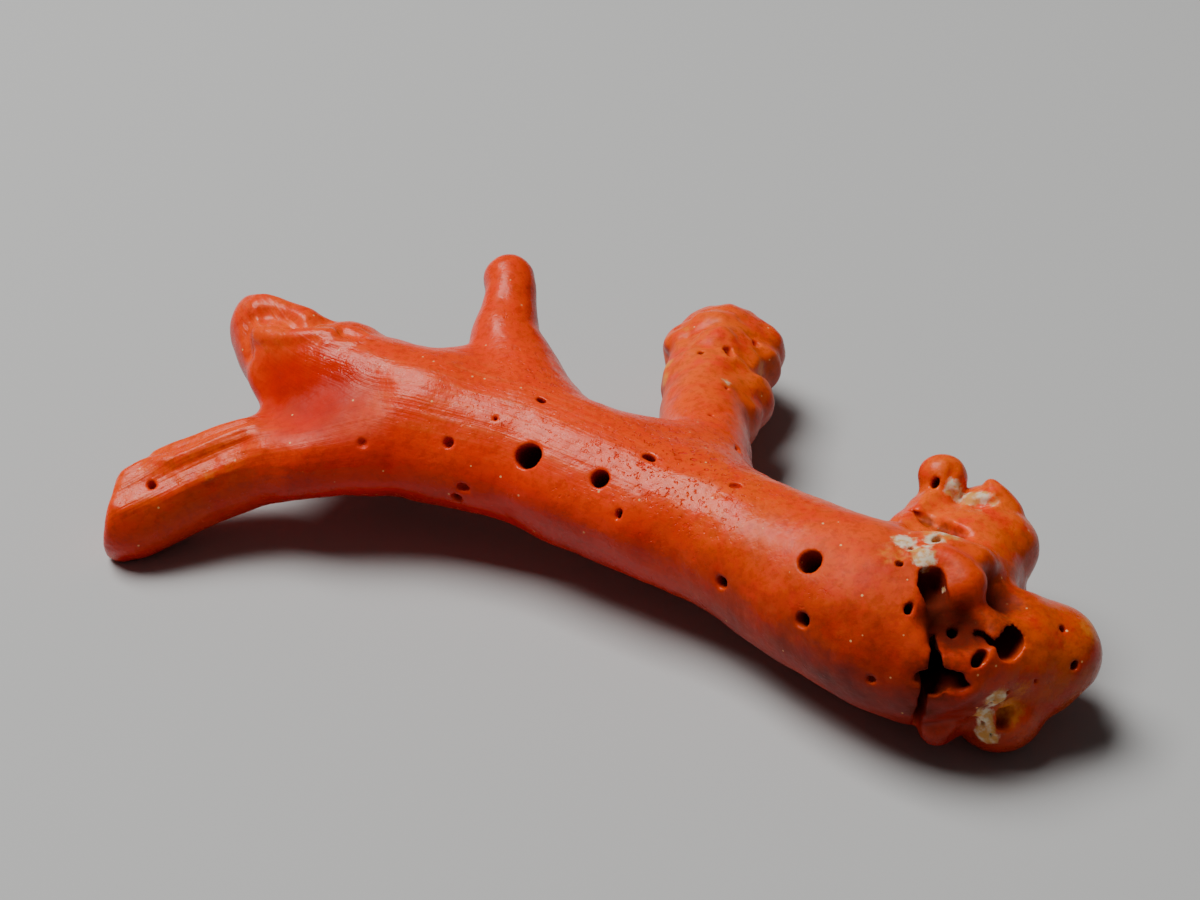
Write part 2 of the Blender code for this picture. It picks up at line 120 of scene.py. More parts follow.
# Lumps: centre, radius and how softly they melt into the rest.
LUMPS = (
    ((-2.8, -0.2, 5.6), 1.95, 0.8),
    ((-1.0, -2.35, 5.15), 2.15, 0.8),
    ((-7.0, 1.6, 5.8), 2.7, 0.8),
    ((3.2, -3.4, 4.9), 2.6, 0.8),
    ((1.6, -3.4, 5.0), 2.7, 0.8),
    ((6.8, -6.5, 4.6), 2.3, 0.8),
    ((-14.7, 0.2, 5.0), 2.0, 0.6),
    ((-17.6, 7.2, 7.1), 1.4, 0.4),
    ((-16.6, 7.0, 6.9), 1.3, 0.4),
    ((-12.6, 3.8, 6.9), 1.8, 0.5),
    ((5.0, 9.2, 3.8), 1.6, 0.4),
    ((8.4, 9.3, 3.8), 1.6, 0.4),
    ((8.3, 7.8, 3.9), 1.35, 0.3),
    ((7.35, 4.4, 4.0), 1.75, 0.4),
    ((6.7, 2.5, 4.0), 1.5, 0.6),
    ((4.9, 5.5, 4.3), 1.65, 0.4),
    ((6.3, 8.6, 4.8), 1.5, 0.4),
    ((5.4, 6.6, 2.8), 1.9, 0.4),
    ((5.0, 2.4, 3.2), 1.6, 0.4),
    ((7.2, 10.2, 1.7), 1.8, 0.4),
    ((14.6, -12.3, 4.9), 2.8, 0.5),
    ((16.6, -10.6, 5.0), 2.8, 0.5),
    ((18.05, -9.85, 5.6), 1.94, 0.4),
    ((17.7, -9.0, 4.6), 1.9, 0.5),
    ((17.9, -8.2, 6.0), 1.6, 0.4),
    ((18.0, -7.6, 7.4), 0.42, 0.2),
    ((18.22, -8.05, 7.15), 0.62, 0.3),
    ((18.4, -8.5, 6.6), 0.95, 0.3),
    ((14.6, -9.6, 5.6), 1.7, 0.4),
    ((15.3, -8.3, 6.0), 1.25, 0.4),
    ((15.8, -7.3, 6.6), 1.0, 0.3),
    ((15.72, -6.73, 7.4), 0.95, 0.3),
    ((16.12, -6.75, 7.4), 0.95, 0.3),
    ((14.0, -12.9, 7.6), 0.9, 0.3),
    ((14.9, -13.0, 7.6), 1.0, 0.8),
    ((16.3, -13.5, 7.2), 1.1, 1.0),
    ((15.7, -15.15, 4.4), 3.4, 0.5),
    ((18.0, -15.1, 4.1), 2.7, 0.5),
    ((19.9, -15.1, 3.95), 2.1, 0.5),
    ((19.1, -15.8, 3.2), 1.9, 0.4),
    ((17.5, -16.3, 2.1), 2.2, 0.4),
    ((15.2, -17.3, 2.3), 1.15, 0.3),
    ((14.7, -17.6, 1.9), 0.9, 0.3),
    ((17.4, -12.0, 3.3), 2.3, 0.4),
    ((17.2, -12.3, 5.8), 1.3, 0.8),
    ((15.0, -11.0, 3.4), 2.1, 0.4),
    ((19.2, -8.2, 3.9), 1.2, 0.8),
    ((20.6, -14.0, 2.8), 1.4, 0.3),
    ((-23.85, -3.5, 0.65), 0.65, 0.6),
)

# Strokes that raise or lower the surface: height, half-width, and the path that they follow.
STROKES = (
    # The leg's crest, the facet below it and the facet's lower edge.
    (
        0.18,
        0.3,
        (
            (-16.9, -1.3, 6.6),
            (-18.0, -1.5, 6.2),
            (-19.5, -2.0, 5.7),
            (-21.0, -2.3, 5.2),
            (-22.4, -1.9, 4.6),
            (-23.2, -2.4, 4.3),
        ),
    ),
    (
        -0.2,
        0.5,
        ((-17.6, -2.2, 5.9), (-19.0, -2.6, 5.5), (-20.7, -2.95, 4.8), (-22.1, -3.1, 4.1), (-23.3, -3.5, 3.8)),
    ),
    (
        0.09,
        0.35,
        (
            (-16.4, -2.8, 5.9),
            (-17.3, -3.0, 5.6),
            (-18.6, -3.3, 5.1),
            (-20.3, -3.6, 4.2),
            (-21.3, -3.9, 3.9),
            (-23.2, -4.4, 3.5),
        ),
    ),
    # A second ridge along the leg's back and the groove before it.
    (-0.1, 0.2, ((-17.2, -0.9, 6.3), (-18.8, -1.2, 5.8), (-20.4, -1.5, 5.3), (-21.8, -1.5, 4.8))),
    (0.14, 0.3, ((-17.0, -0.3, 6.3), (-18.8, -0.6, 5.7), (-20.6, -0.9, 5.1), (-22.0, -1.0, 4.5))),
    # Fine ridges drawn out along the leg's upper side.
    (0.07, 0.12, ((-15.6, -2.9, 6.0), (-17.0, -2.5, 5.9), (-18.6, -2.6, 5.5))),
    (0.06, 0.12, ((-15.4, -3.4, 5.6), (-17.4, -3.4, 5.3), (-19.2, -3.6, 4.7))),
    (0.07, 0.12, ((-15.5, -1.9, 6.6), (-17.2, -1.9, 6.2), (-18.6, -2.2, 5.8))),
    # The crease between leg and stump, under the stump's flat front.
    (
        -0.55,
        1.5,
        ((-16.0, 1.9, 7.3), (-14.9, 1.1, 7.6), (-13.9, 0.6, 7.9), (-12.9, 0.0, 8.2), (-11.6, -0.8, 8.3)),
    ),
    (-0.4, 1.1, ((-16.2, -0.3, 6.7), (-15.4, -0.9, 6.9), (-14.6, -1.4, 7.0))),
    (0.35, 0.7, ((-17.3, 3.0, 6.3), (-17.0, 2.0, 5.9), (-16.6, 1.0, 5.6))),
    # The trunk's full lower front.
    (0.2, 1.0, ((-15.2, -3.5, 4.0), (-12.5, -3.7, 4.2), (-9.5, -4.2, 4.3), (-6.5, -4.9, 4.3))),
    (
        0.38,
        1.6,
        (
            (-14.3, -3.0, 5.5),
            (-12.1, -3.2, 5.5),
            (-9.2, -3.6, 5.4),
            (-7.2, -4.1, 5.5),
            (-5.7, -4.7, 5.5),
            (-3.8, -5.8, 5.6),
            (-1.9, -7.0, 5.8),
            (0.9, -8.7, 5.8),
        ),
    ),
    # The stump's back lobe, the trough before it, the front rim and the facet on its side.
    (0.22, 0.5, ((-17.7, 6.4, 8.5), (-16.9, 7.0, 8.7), (-15.9, 6.6, 8.7), (-14.9, 5.6, 8.6))),
    (-1.1, 0.42, ((-17.0, 5.4, 8.6), (-16.3, 5.0, 8.7), (-15.7, 4.5, 8.6))),
    (-0.6, 0.4, ((-15.4, 4.2, 8.6), (-14.7, 4.2, 8.6), (-13.9, 4.7, 8.6))),
    (
        0.55,
        0.36,
        ((-17.2, 4.2, 8.1), (-16.7, 3.9, 8.2), (-15.6, 3.4, 8.4), (-14.4, 3.1, 8.7), (-13.4, 2.9, 8.7)),
    ),
    (
        0.14,
        0.2,
        ((-17.5, 4.4, 8.2), (-16.9, 4.0, 8.4), (-16.1, 3.8, 8.4), (-15.0, 3.5, 8.5), (-14.2, 3.3, 8.6)),
    ),
    (-0.3, 0.35, ((-17.9, 5.4, 8.1), (-18.0, 4.8, 7.7), (-17.7, 3.9, 7.2))),
    # The oval hollow at the foot of the stump's top and the ledge over it.
    (-0.4, 0.34, ((-12.9, 3.1, 8.8), (-12.1, 2.8, 8.8))),
    (0.12, 0.22, ((-13.5, 2.4, 8.7), (-12.5, 2.1, 8.8), (-11.5, 2.2, 8.7))),
    # The knob: its corner, the bumps round it, the notch over the cheek and the waist.
    (0.5, 0.4, ((3.9, 8.7, 4.6), (4.2, 8.6, 5.2))),
    (0.2, 0.4, ((6.2, 6.9, 6.3), (6.5, 7.3, 6.3))),
    (0.2, 0.5, ((5.4, 9.4, 5.7), (7.4, 9.7, 5.6))),
    (-0.16, 0.4, ((4.6, 7.9, 5.7), (5.6, 8.2, 6.1), (7.0, 8.3, 6.2), (8.0, 8.0, 5.7))),
    (0.22, 0.45, ((8.3, 6.3, 5.0), (9.0, 7.2, 4.9))),
    (-0.4, 0.3, ((8.6, 5.6, 4.4), (8.4, 5.3, 4.9), (8.0, 4.9, 5.2))),
    (-0.14, 0.45, ((4.3, 6.3, 5.6), (5.2, 5.9, 6.2), (6.6, 5.9, 6.2), (7.6, 5.7, 5.7))),
    (0.15, 0.4, ((7.5, 2.1, 4.9), (7.7, 2.5, 4.4))),
    (0.12, 0.4, ((3.6, 5.8, 5.2), (3.5, 4.5, 5.1))),
    (0.1, 0.4, ((6.1, 2.3, 6.3), (6.6, 2.6, 6.2))),
    (-0.07, 0.2, ((5.6, -1.1, 6.8), (6.2, -0.3, 6.5))),
    # The base: the fold beside the head, the saddle's ridges and dip, the arm, and the rim and notch
    # below the cavity.
    (-0.15, 0.16, ((16.1, -7.6, 8.0), (16.25, -7.2, 8.2))),
    (0.2, 0.2, ((16.2, -7.7, 7.5), (16.7, -8.2, 7.4), (17.3, -8.5, 7.5), (17.9, -8.6, 7.6))),
    (-0.35, 0.24, ((17.2, -8.95, 7.5), (17.7, -8.95, 7.5))),
    (0.16, 0.2, ((16.7, -9.1, 7.4), (17.2, -9.5, 7.4), (17.9, -9.4, 7.4))),
    (0.25, 0.35, ((15.0, -8.2, 7.5), (14.5, -9.0, 7.3), (13.8, -9.9, 7.1), (13.2, -10.8, 7.3))),
    (0.18, 0.3, ((15.0, -18.8, 4.2), (15.8, -18.7, 4.9))),
    (-0.3, 0.35, ((15.7, -18.7, 1.6), (15.8, -18.8, 2.4))),
)

# Borings by sponges and worms: mouth, radius, depth, and the way and share by which the mouth is
# drawn out.
FRONT_BORINGS = (
    ((-3.4, -5.1, 7.3), 0.68, 1.9, (0.1, 0, 0)),
    ((0.0, -7.0, 7.4), 0.48, 1.5, (0, 0, 0)),
    ((9.0, -13.7, 8.0), 0.54, 2.6, (0, 0, 0.05)),
    ((8.7, -15.5, 6.1), 0.34, 2.2, (0, 0, 0)),
    ((5.4, -12.2, 5.5), 0.31, 2.0, (0, 0, 0)),
    ((1.0, -8.4, 6.4), 0.18, 1.0, (0, 0, 0.4)),
    ((2.3, -6.4, 8.2), 0.21, 0.9, (0.75, -0.5, 0)),
    ((6.2, -8.6, 8.2), 0.24, 0.3, (0.6, -0.3, 0)),
    ((-2.8, -2.3, 8.6), 0.16, 0.7, (0.7, -0.5, 0)),
    ((-5.0, -3.2, 8.2), 0.12, 0.5, (0, 0, 0)),
    ((-7.2, -3.6, 7.0), 0.29, 0.5, (0, 0, 0)),
    ((-11.4, -3.0, 6.5), 0.3, 0.25, (0, 0, 0)),
    ((-6.4, -4.5, 5.2), 0.3, 0.35, (0.3, -0.2, 0)),
    ((11.5, -18.0, 4.9), 0.24, 0.35, (0, 0, 0)),
    ((-21.8, -3.3, 4.2), 0.27, 0.45, (0, 0, 0)),
    ((5.2, 5.2, 6.4), 0.17, 0.5, (0, 0.7, 0.1)),
    ((6.6, 5.5, 6.1), 0.36, 0.5, (0.1, 0.9, 0.2)),
    ((8.2, 7.5, 5.4), 0.3, 0.4, (0.2, 0.5, 0)),
    ((6.3, 1.9, 6.3), 0.11, 0.3, (0.4, 0.2, 0)),
    ((6.6, -3.7, 6.7), 0.16, 0.6, (0, 0.4, 0)),
    ((15.4, -7.6, 7.6), 0.2, 0.9, (0.5, 0.4, 0.4)),
    ((19.79, -15.77, 5.7), 0.17, 0.6, (0, 0, 0)),
    ((20.4, -16.88, 4.8), 0.2, 0.7, (0.1, 0, 0.3)),
    ((18.6, -17.6, 4.6), 0.11, 0.25, (0, 0, 0)),
    ((17.54, -18.4, 4.3), 0.13, 0.5, (0, 0, 0)),
    ((13.04, -16.75, 7.9), 0.19, 1.2, (0.22, 0.5, 0.3)),
    ((15.0, -16.6, 6.4), 0.25, 1.3, (0.1, 0, 0)),
    ((15.95, -17.9, 6.0), 0.3, 1.5, (0.5, 0.6, 0.3)),
    ((12.8, -14.7, 8.6), 0.19, 0.7, (0, 0, 0)),
    ((13.4, -13.75, 8.8), 0.14, 0.5, (0, 0, 0)),
    ((14.6, -13.1, 8.6), 0.2, 0.8, (0.55, 0.5, 0.2)),
    ((16.7, -18.5, 3.9), 0.14, 0.3, (0, 0, 0)),
    ((16.4, -18.4, 2.6), 0.16, 0.3, (0, 0, 0)),
    ((16.9, -18.3, 2.1), 0.12, 0.3, (0, 0, 0)),
)
# Borings on the hidden sides: limb, share, angle, radius and depth.
BACK_BORINGS = (
    ("trunk", 0.36, -100, 0.45, 1.8),
    ("trunk", 0.58, -130, 0.38, 1.4),
    ("trunk", 0.22, 150, 0.4, 1.4),
    ("trunk", 0.66, 165, 0.5, 1.8),
    ("trunk", 0.86, -160, 0.42, 1.5),
    ("trunk", 0.18, 100, 0.3, 0.5),
    ("leg", 0.55, 120, 0.3, 1.0),
    ("stump", 0.5, 110, 0.4, 1.2),
    ("slim_twig", 0.55, 150, 0.22, 0.7),
    ("knobby_branch", 0.75, -110, 0.35, 1.2),
    ("knobby_branch", 0.45, 165, 0.3, 1.0),
    ("knobby_branch", 0.24, 5, 0.14, 0.3),
)
BASE_BACK_BORINGS = (
    ((18.9, -8.9, 3.2), 0.45, 1.4, (0, 0, 0)),
    ((21.2, -14.0, 3.0), 0.3, 1.0, (0, 0, 0)),
    ((15.6, -12.0, 1.9), 0.6, 1.6, (0, 0, 0)),
    ((17.2, -13.6, 1.4), 0.4, 1.2, (0, 0, 0)),
)
BORING_TAPER = 0.8  # the bottom's radius as a share of the mouth's
BORING_TOP = 0.8  # how far the cutter reaches out of the mouth
BORING_RIM = 0.07
BORING_RAGGED = 0.16  # this and the next are shares of the radius
BORING_RAG_SIZE = 1.3
BORING_SEED = 11
STRAIGHT = (1, 0, 0.1)  # the way along a boring whose mouth isn't drawn out

# Hollows eaten out of the base, and the crack beside it: centre, half-lengths, raggedness and rim.
HOLLOWS = (
    ((14.1, -15.4, 8.0), (0.75, 0.85, 0.95), 0.2, 0.15),
    ((14.5, -15.2, 8.1), (0.5, 0.6, 0.6), 0.1, 0.15),
    ((15.2, -17.4, 7.75), (1.6, 1.3, 1.35), 0.15, 0.9),
    ((17.5, -15.1, 7.6), (1.1, 1.2, 1.0), 0.1, 0.9),
    ((17.2, -16.6, 6.1), (0.88, 1.3, 0.68), 0.04, 0.12),
    ((16.3, -16.9, 6.5), (0.4, 0.8, 0.16), 0.1, 0.12),
    ((14.1, -18.4, 6.1), (0.3, 1.9, 0.45), 0.2, 0.12),
    ((14.35, -18.6, 5.55), (1.1, 2.0, 0.45), 0.3, 0.12),
    ((15.2, -18.7, 5.2), (0.7, 1.8, 0.38), 0.3, 0.12),
    ((14.2, -17.3, 5.0), (0.9, 1.5, 0.6), 0.2, 0.12),
    ((17.35, -9.2, 7.6), (0.5, 0.35, 0.35), 0.1, 0.1),
    ((17.35, -18.3, 2.9), (0.4, 0.7, 0.5), 0.3, 0.12),
    ((19.9, -12.1, 4.2), (1.0, 0.7, 0.8), 0.1, 0.3),
    ((15.2, -13.4, 0.9), (1.6, 1.1, 0.9), 0.2, 0.3),
    ((16.9, -7.0, 4.0), (0.6, 0.9, 0.5), 0.1, 0.2),
    ((13.7, -19.2, 3.2), (0.24, 2.4, 2.4), 0.08, 0.12),
)
RAG_SIZE = 0.55
RAG_SEED = 5

# The groove in the base, and the tongue that curls over its cavity: stations of x, y, z and radius.
BASE_GROOVE = (
    (14.25, -9.3, 7.1, 0.14),
    (14.75, -9.8, 7.2, 0.24),
    (15.35, -10.5, 7.35, 0.26),
    (15.9, -11.1, 7.5, 0.22),
    (16.3, -11.5, 7.65, 0.12),
)
GROOVE_BLEND = 0.4
TONGUE = (
    (14.0, -14.15, 8.55, 0.3),
    (14.5, -14.1, 8.6, 0.4),
    (15.0, -14.3, 8.5, 0.52),
    (15.4, -14.65, 8.25, 0.68),
    (15.7, -15.1, 7.95, 0.82),
)
TONGUE_BLEND = 0.7

# Flat breaks: a point on the break and the way it faces.
BREAKS = (
    ((-24.25, -3.2, 2.0), (-0.97, 0.06, 0.2)),
    ((-15.3, 6.9, 7.4), (0.4, 0.75, 0.55)),
    ((-19.0, 7.6, 6.0), (-0.75, 0.65, -0.1)),
)
BREAK_SIZE = 6.0
BREAK_RIM = 0.3
TABLE_RIM = 0.08
STROKE_REACH = 2.4  # in half-widths of the stroke
SETTLE_STEPS = 6
UNTANGLE_ROUNDS = 3

# Unevenness of the growth: size and height, from broad to fine.
UNEVEN = ((2.6, 0.2), (1.1, 0.07), (0.45, 0.03))
BAND = 0.7  # how near the surface the unevenness is worked out
ROUGH_REACH = 2  # in reaches of a rough place
NOISE_CELLS = 32
NOISE_SHIFT = (7.31, 3.17, 5.77)  # times the seed
# Rougher places: centre, reach, size and height of their lumps.
ROUGH_PLACES = (
    ((6.4, 7.6, 4.6), 3.6, 1.1, 0.55),
    ((6.4, 7.6, 4.6), 3.6, 0.6, 0.3),
    ((6.0, 3.0, 5.0), 2.5, 0.8, 0.25),
    ((12.9, -14.2, 8.7), 0.9, 0.3, 0.3),
    ((14.6, -12.9, 8.7), 0.8, 0.35, 0.2),
    ((16.9, -8.4, 7.5), 0.9, 0.35, 0.25),
    ((16.6, -18.5, 3.4), 1.5, 0.4, 0.35),
    ((18.0, -18.0, 4.4), 0.8, 0.4, 0.15),
    ((15.5, -17.6, 6.8), 2.0, 0.6, 0.15),
    ((17.5, -9.0, 6.5), 4.0, 0.8, 0.12),
    ((17.5, -16.5, 3.5), 3.5, 1.0, 0.14),
    ((-20.7, -2.9, 4.7), 0.9, 0.3, 0.12),
)


# ---- the distance field ----

axes = [
    np.arange(low, high, STEP, dtype=np.float32) for low, high in zip(GRID_LOW, GRID_HIGH)
]
field = np.full([len(axis) for axis in axes], FAR, np.float32)
noise_table = np.random.default_rng(7).random((NOISE_CELLS,) * 3).astype(np.float32)


def window(low, high):
    """The part of the grid between two corners, and its coordinates."""
    cuts = []
    for axis, start, end in zip(axes, low, high):
        first = int(np.clip((start - axis[0]) / STEP, 0, len(axis) - 2))
        last = int(np.clip((end - axis[0]) / STEP + 2, first + 1, len(axis)))
        cuts.append(slice(first, last))
    x, y, z = (axis[cut] for axis, cut in zip(axes, cuts))
    return tuple(cuts), (x[:, None, None], y[None, :, None], z[None, None, :])


def melt(a, b, softness):
    """The union of two distances, with a fillet."""
    lap = np.maximum(softness - np.abs(a - b), 0.0) / softness
    return np.minimum(a, b) - lap * lap * softness / 4


def carve(a, hole, softness):
    """Takes the hole out of a, with a rounded rim."""
    return -melt(-a, hole, softness)


def rod_distance(where, start, end):
    """Distance to a rod between two stations of x, y, z and radius."""
    run = [e - s for s, e in zip(start[:3], end[:3])]
    squared = max(sum(r * r for r in run), TINY**2)
    away = [w - s for w, s in zip(where, start[:3])]
    along = np.clip(sum(a * r for a, r in zip(away, run)) / squared, 0.0, 1.0)
    gap = sum((a - along * r) ** 2 for a, r in zip(away, run))
    return np.sqrt(gap) - (start[3] + along * (end[3] - start[3]))


def smooth_line(stations):
    """The stations joined by a smooth curve."""
    rows = np.array(stations, float)
    rows = np.vstack((2 * rows[0] - rows[1], rows, 2 * rows[-1] - rows[-2]))
    found = []
    for before, start, end, after in zip(rows, rows[1:], rows[2:], rows[3:]):
        for t in np.arange(SPAN_STEPS) / SPAN_STEPS:
            found.append(
                0.5
                * (
                    2 * start
                    + (end - before) * t
                    + (2 * before - 5 * start + 4 * end - after) * t**2
                    + (3 * start - before - 3 * end + after) * t**3
                )
            )
    found.append(rows[-2])
    return np.array(found)


def tube_distance(stations):
    """A window round the tube, and the distance to the tube in it."""
    line = smooth_line(stations)
    radius = line[:, 3].max() + REACH
    cuts, _ = window(line[:, :3].min(0) - radius, line[:, :3].max(0) + radius)
    found = np.full(field[cuts].shape, FAR, np.float32)
    for start, end in zip(line, line[1:]):
        low = np.minimum(start, end)[:3] - radius
        high = np.maximum(start, end)[:3] + radius
        inner, where = window(low, high)
        inner = tuple(slice(i.start - c.start, i.stop - c.start) for i, c in zip(inner, cuts))
        found[inner] = np.minimum(found[inner], rod_distance(where, start, end))
    return cuts, found


def add_tube(stations, softness):
    cuts, found = tube_distance(stations)
    field[cuts] = melt(field[cuts], found, softness)


def cut_tube(stations, softness):
    cuts, found = tube_distance(stations)
    field[cuts] = carve(field[cuts], found, softness)


def ball_distance(where, centre, radius):
    return np.sqrt(sum((w - c) ** 2 for w, c in zip(where, centre))) - radius


def add_ball(centre, radius, softness):
    corner = np.array(centre)
    cuts, where = window(corner - radius - REACH, corner + radius + REACH)
    field[cuts] = melt(field[cuts], ball_distance(where, centre, radius), softness)


def noise(points, size, seed):
    """Smooth random values from 0 to 1 at points (N, 3), with features of the given size."""
    shifted = points / size + seed * np.array(NOISE_SHIFT)
    cell = np.floor(shifted).astype(np.int64)
    part = (shifted - cell).astype(np.float32)
    part = part * part * (3 - 2 * part)
    total = np.zeros(len(points), np.float32)
    for corner in range(8):
        offset = np.array((corner & 1, corner >> 1 & 1, corner >> 2 & 1))
        weight = np.prod(np.where(offset, part, 1 - part), axis=1)
        index = (cell + offset) % NOISE_CELLS
        total += weight * noise_table[index[:, 0], index[:, 1], index[:, 2]]
    return total


def points_of(cuts):
    x, y, z = (axis[cut] for axis, cut in zip(axes, cuts))
    return np.stack(np.meshgrid(x, y, z, indexing="ij"), -1).reshape(-1, 3)


def cut_hollow(centre, half, ragged, softness):
    """An ellipsoid with ragged walls."""
    corner, half = np.array(centre), np.array(half)
    cuts, where = window(corner - half - REACH, corner + half + REACH)
    near = np.sqrt(sum(((w - c) / h) ** 2 for w, c, h in zip(where, centre, half)))
    slope = np.sqrt(sum(((w - c) / h**2) ** 2 for w, c, h in zip(where, centre, half)))
    hole = near * (near - 1) / np.maximum(slope, TINY)
    hole += ragged * 2 * (noise(points_of(cuts), RAG_SIZE, RAG_SEED).reshape(hole.shape) - 0.5)
    field[cuts] = carve(field[cuts], hole, softness)


def on_limb(limb, share, angle):
    """A point on a limb's surface, the way out from there and the limb's axis."""
    line = smooth_line(LIMBS[limb])
    steps = np.linalg.norm(np.diff(line[:, :3], axis=0), axis=1)
    along = share * steps.sum()
    index = 0
    while along > steps[index] and index < len(steps) - 1:
        along -= steps[index]
        index += 1
    ratio = along / steps[index]
    row = line[index] * (1 - ratio) + line[index + 1] * ratio
    axis = Vector(line[index + 1][:3] - line[index][:3]).normalized()
    right = axis.cross(Vector((0, 0, 1))).normalized()
    top = right.cross(axis)
    turn = math.radians(angle)
    outward = top * math.cos(turn) + right * math.sin(turn)
    return Vector(row[:3]) + outward * row[3], outward, axis


def sample(values, points):
    """The grid's values at points (N, 3)."""
    low = np.array([axis[0] for axis in axes])
    place = (points - low) / STEP
    cell = np.clip(np.floor(place).astype(int), 0, np.array(values.shape) - 2)
    part = place - cell
    total = np.zeros(len(points))
    for corner in range(8):
        offset = np.array((corner & 1, corner >> 1 & 1, corner >> 2 & 1))
        weight = np.prod(np.where(offset, part, 1 - part), axis=1)
        total += weight * values[tuple((cell + offset).T)]
    return total


def slope_at(place):
    """How the field changes along x, y and z at a place."""
    ahead = place + np.eye(3) * STEP
    behind = place - np.eye(3) * STEP
    return (sample(field, ahead) - sample(field, behind)) / (2 * STEP)


def settle(place):
    """The nearest place on the surface, and the way out from there."""
    place = np.array(place, float)
    for _ in range(SETTLE_STEPS):
        slope = slope_at(place)
        place = place - sample(field, place[None])[0] * slope / max(slope @ slope, 0.1)
    slope = slope_at(place)
    return place, slope / np.linalg.norm(slope)


def press(height, width, path):
    """Raises the surface along a path that lies on it, or lowers it where the height is negative."""
    line = smooth_line([settle(place)[0] for place in path])
    reach = width * STROKE_REACH
    cuts, _ = window(line.min(0) - reach, line.max(0) + reach)
    away = np.full(field[cuts].shape, reach, np.float32)
    for start, end in zip(line, line[1:]):
        inner, where = window(np.minimum(start, end) - reach, np.maximum(start, end) + reach)
        inner = tuple(slice(i.start - c.start, i.stop - c.start) for i, c in zip(inner, cuts))
        away[inner] = np.minimum(away[inner], rod_distance(where, (*start, 0), (*end, 0)))
    field[cuts] -= height * np.exp(-((away / width) ** 2))


def cut_boring(mouth, outward, along, radius, depth, stretch):
    """A tapered hole with a rounded end, its mouth drawn out along the given line."""
    across = outward.cross(along).normalized()
    along = across.cross(outward)
    reach = max(radius * stretch, radius) + REACH / 2
    ends = (np.array(mouth + outward * BORING_TOP), np.array(mouth - outward * depth))
    cuts, where = window(np.minimum(*ends) - reach, np.maximum(*ends) + reach)
    away = [w - m for w, m in zip(where, mouth)]
    u = sum(a * c for a, c in zip(away, along)) / stretch
    v = sum(a * c for a, c in zip(away, across))
    w = sum(a * c for a, c in zip(away, outward))
    top = (0.0, 0.0, BORING_TOP, radius)
    bottom = (0.0, 0.0, radius * BORING_TAPER - depth, radius * BORING_TAPER)
    hole = rod_distance((u, v, w), top, bottom)
    uneven = noise(points_of(cuts), radius * BORING_RAG_SIZE, BORING_SEED).reshape(hole.shape) - 0.5
    hole = hole + 2 * BORING_RAGGED * radius * uneven
    field[cuts] = carve(field[cuts], hole, BORING_RIM)


def cut_break(point, facing):
    """Takes off what lies past a flat break."""
    outward = Vector(facing).normalized()
    turn = outward.to_track_quat("Z", "Y").to_matrix().transposed()
    centre = Vector(point) + outward * BREAK_SIZE / 2
    corner = np.array(centre)
    cuts, where = window(corner - BREAK_SIZE, corner + BREAK_SIZE)
    away = [w - c for w, c in zip(where, centre)]
    sides = [abs(sum(a * t for a, t in zip(away, row))) - BREAK_SIZE / 2 for row in turn]
    hole = np.maximum(np.maximum(sides[0], sides[1]), sides[2])
    field[cuts] = carve(field[cuts], hole, BREAK_RIM)


def roughen():
    """Gives the grown surface its unevenness."""
    near = np.abs(field) < BAND
    where = np.stack([axis[index] for axis, index in zip(axes, np.nonzero(near))], -1)
    change = np.zeros(len(where), np.float32)
    for seed, (size, height) in enumerate(UNEVEN):
        change += height * (noise(where, size, seed) - 0.5)
    for seed, (centre, reach, size, height) in enumerate(ROUGH_PLACES):
        away = np.linalg.norm(where - np.array(centre), axis=1) / reach
        close = away < ROUGH_REACH
        lumps = noise(where[close], size, seed + len(UNEVEN)) - 0.5
        change[close] += height * np.exp(-(away[close] ** 2)) * lumps
    field[near] -= change


def grow():
    """The whole form. Returns the field as it was before anything bored into it."""
    for stations in LIMBS.values():
        add_tube(stations, FORK_BLEND)
    for centre, radius, softness in LUMPS:
        add_ball(centre, radius, softness)
    for place in BREAKS:
        cut_break(*place)
    for height, width, path in STROKES:
        press(height, width, path)
    roughen()
    before = field.copy()
    for hollow in HOLLOWS:
        cut_hollow(*hollow)
    cut_tube(BASE_GROOVE, GROOVE_BLEND)
    add_tube(TONGUE, TONGUE_BLEND)
    for mouth, radius, depth, drawn in FRONT_BORINGS + BASE_BACK_BORINGS:
        mouth, outward = settle(mouth)
        along = Vector(drawn if any(drawn) else STRAIGHT)
        cut_boring(Vector(mouth), Vector(outward), along, radius, depth, 1 + Vector(drawn).length)
    for limb, share, angle, radius, depth in BACK_BORINGS:
        mouth, outward, axis = on_limb(limb, share, angle)
        cut_boring(mouth, outward, axis, radius, depth, 1.0)
    cuts, (_, _, z) = window(GRID_LOW, (GRID_HIGH[0], GRID_HIGH[1], REACH))
    field[cuts] = carve(field[cuts], z + field[cuts] * 0, TABLE_RIM)
    return before


# ---- the mesh ----


def untangle(values):
    """Parts the surface where it would meet itself along an edge of the grid, in the few faces of
    cells whose corners lie inside and outside by turns."""
    for _ in range(UNTANGLE_ROUNDS):
        for across in range(3):
            first, second = [n for n in range(3) if n != across]
            corners = []
            for u, v in ((0, 0), (1, 0), (1, 1), (0, 1)):
                cut = [slice(None)] * 3
                cut[first] = slice(u, values.shape[first] - 1 + u)
                cut[second] = slice(v, values.shape[second] - 1 + v)
                corners.append(values[tuple(cut)])
            a, b, c, d = [corner < 0 for corner in corners]
            for place in np.argwhere((a == c) & (b == d) & (a != b)):
                ring = []
                for u, v in ((0, 0), (1, 0), (1, 1), (0, 1)):
                    corner = place.copy()
                    corner[first] += u
                    corner[second] += v
                    ring.append(tuple(corner))
                nearest = min(ring, key=lambda corner: abs(values[corner]))
                values[nearest] = -values[nearest]


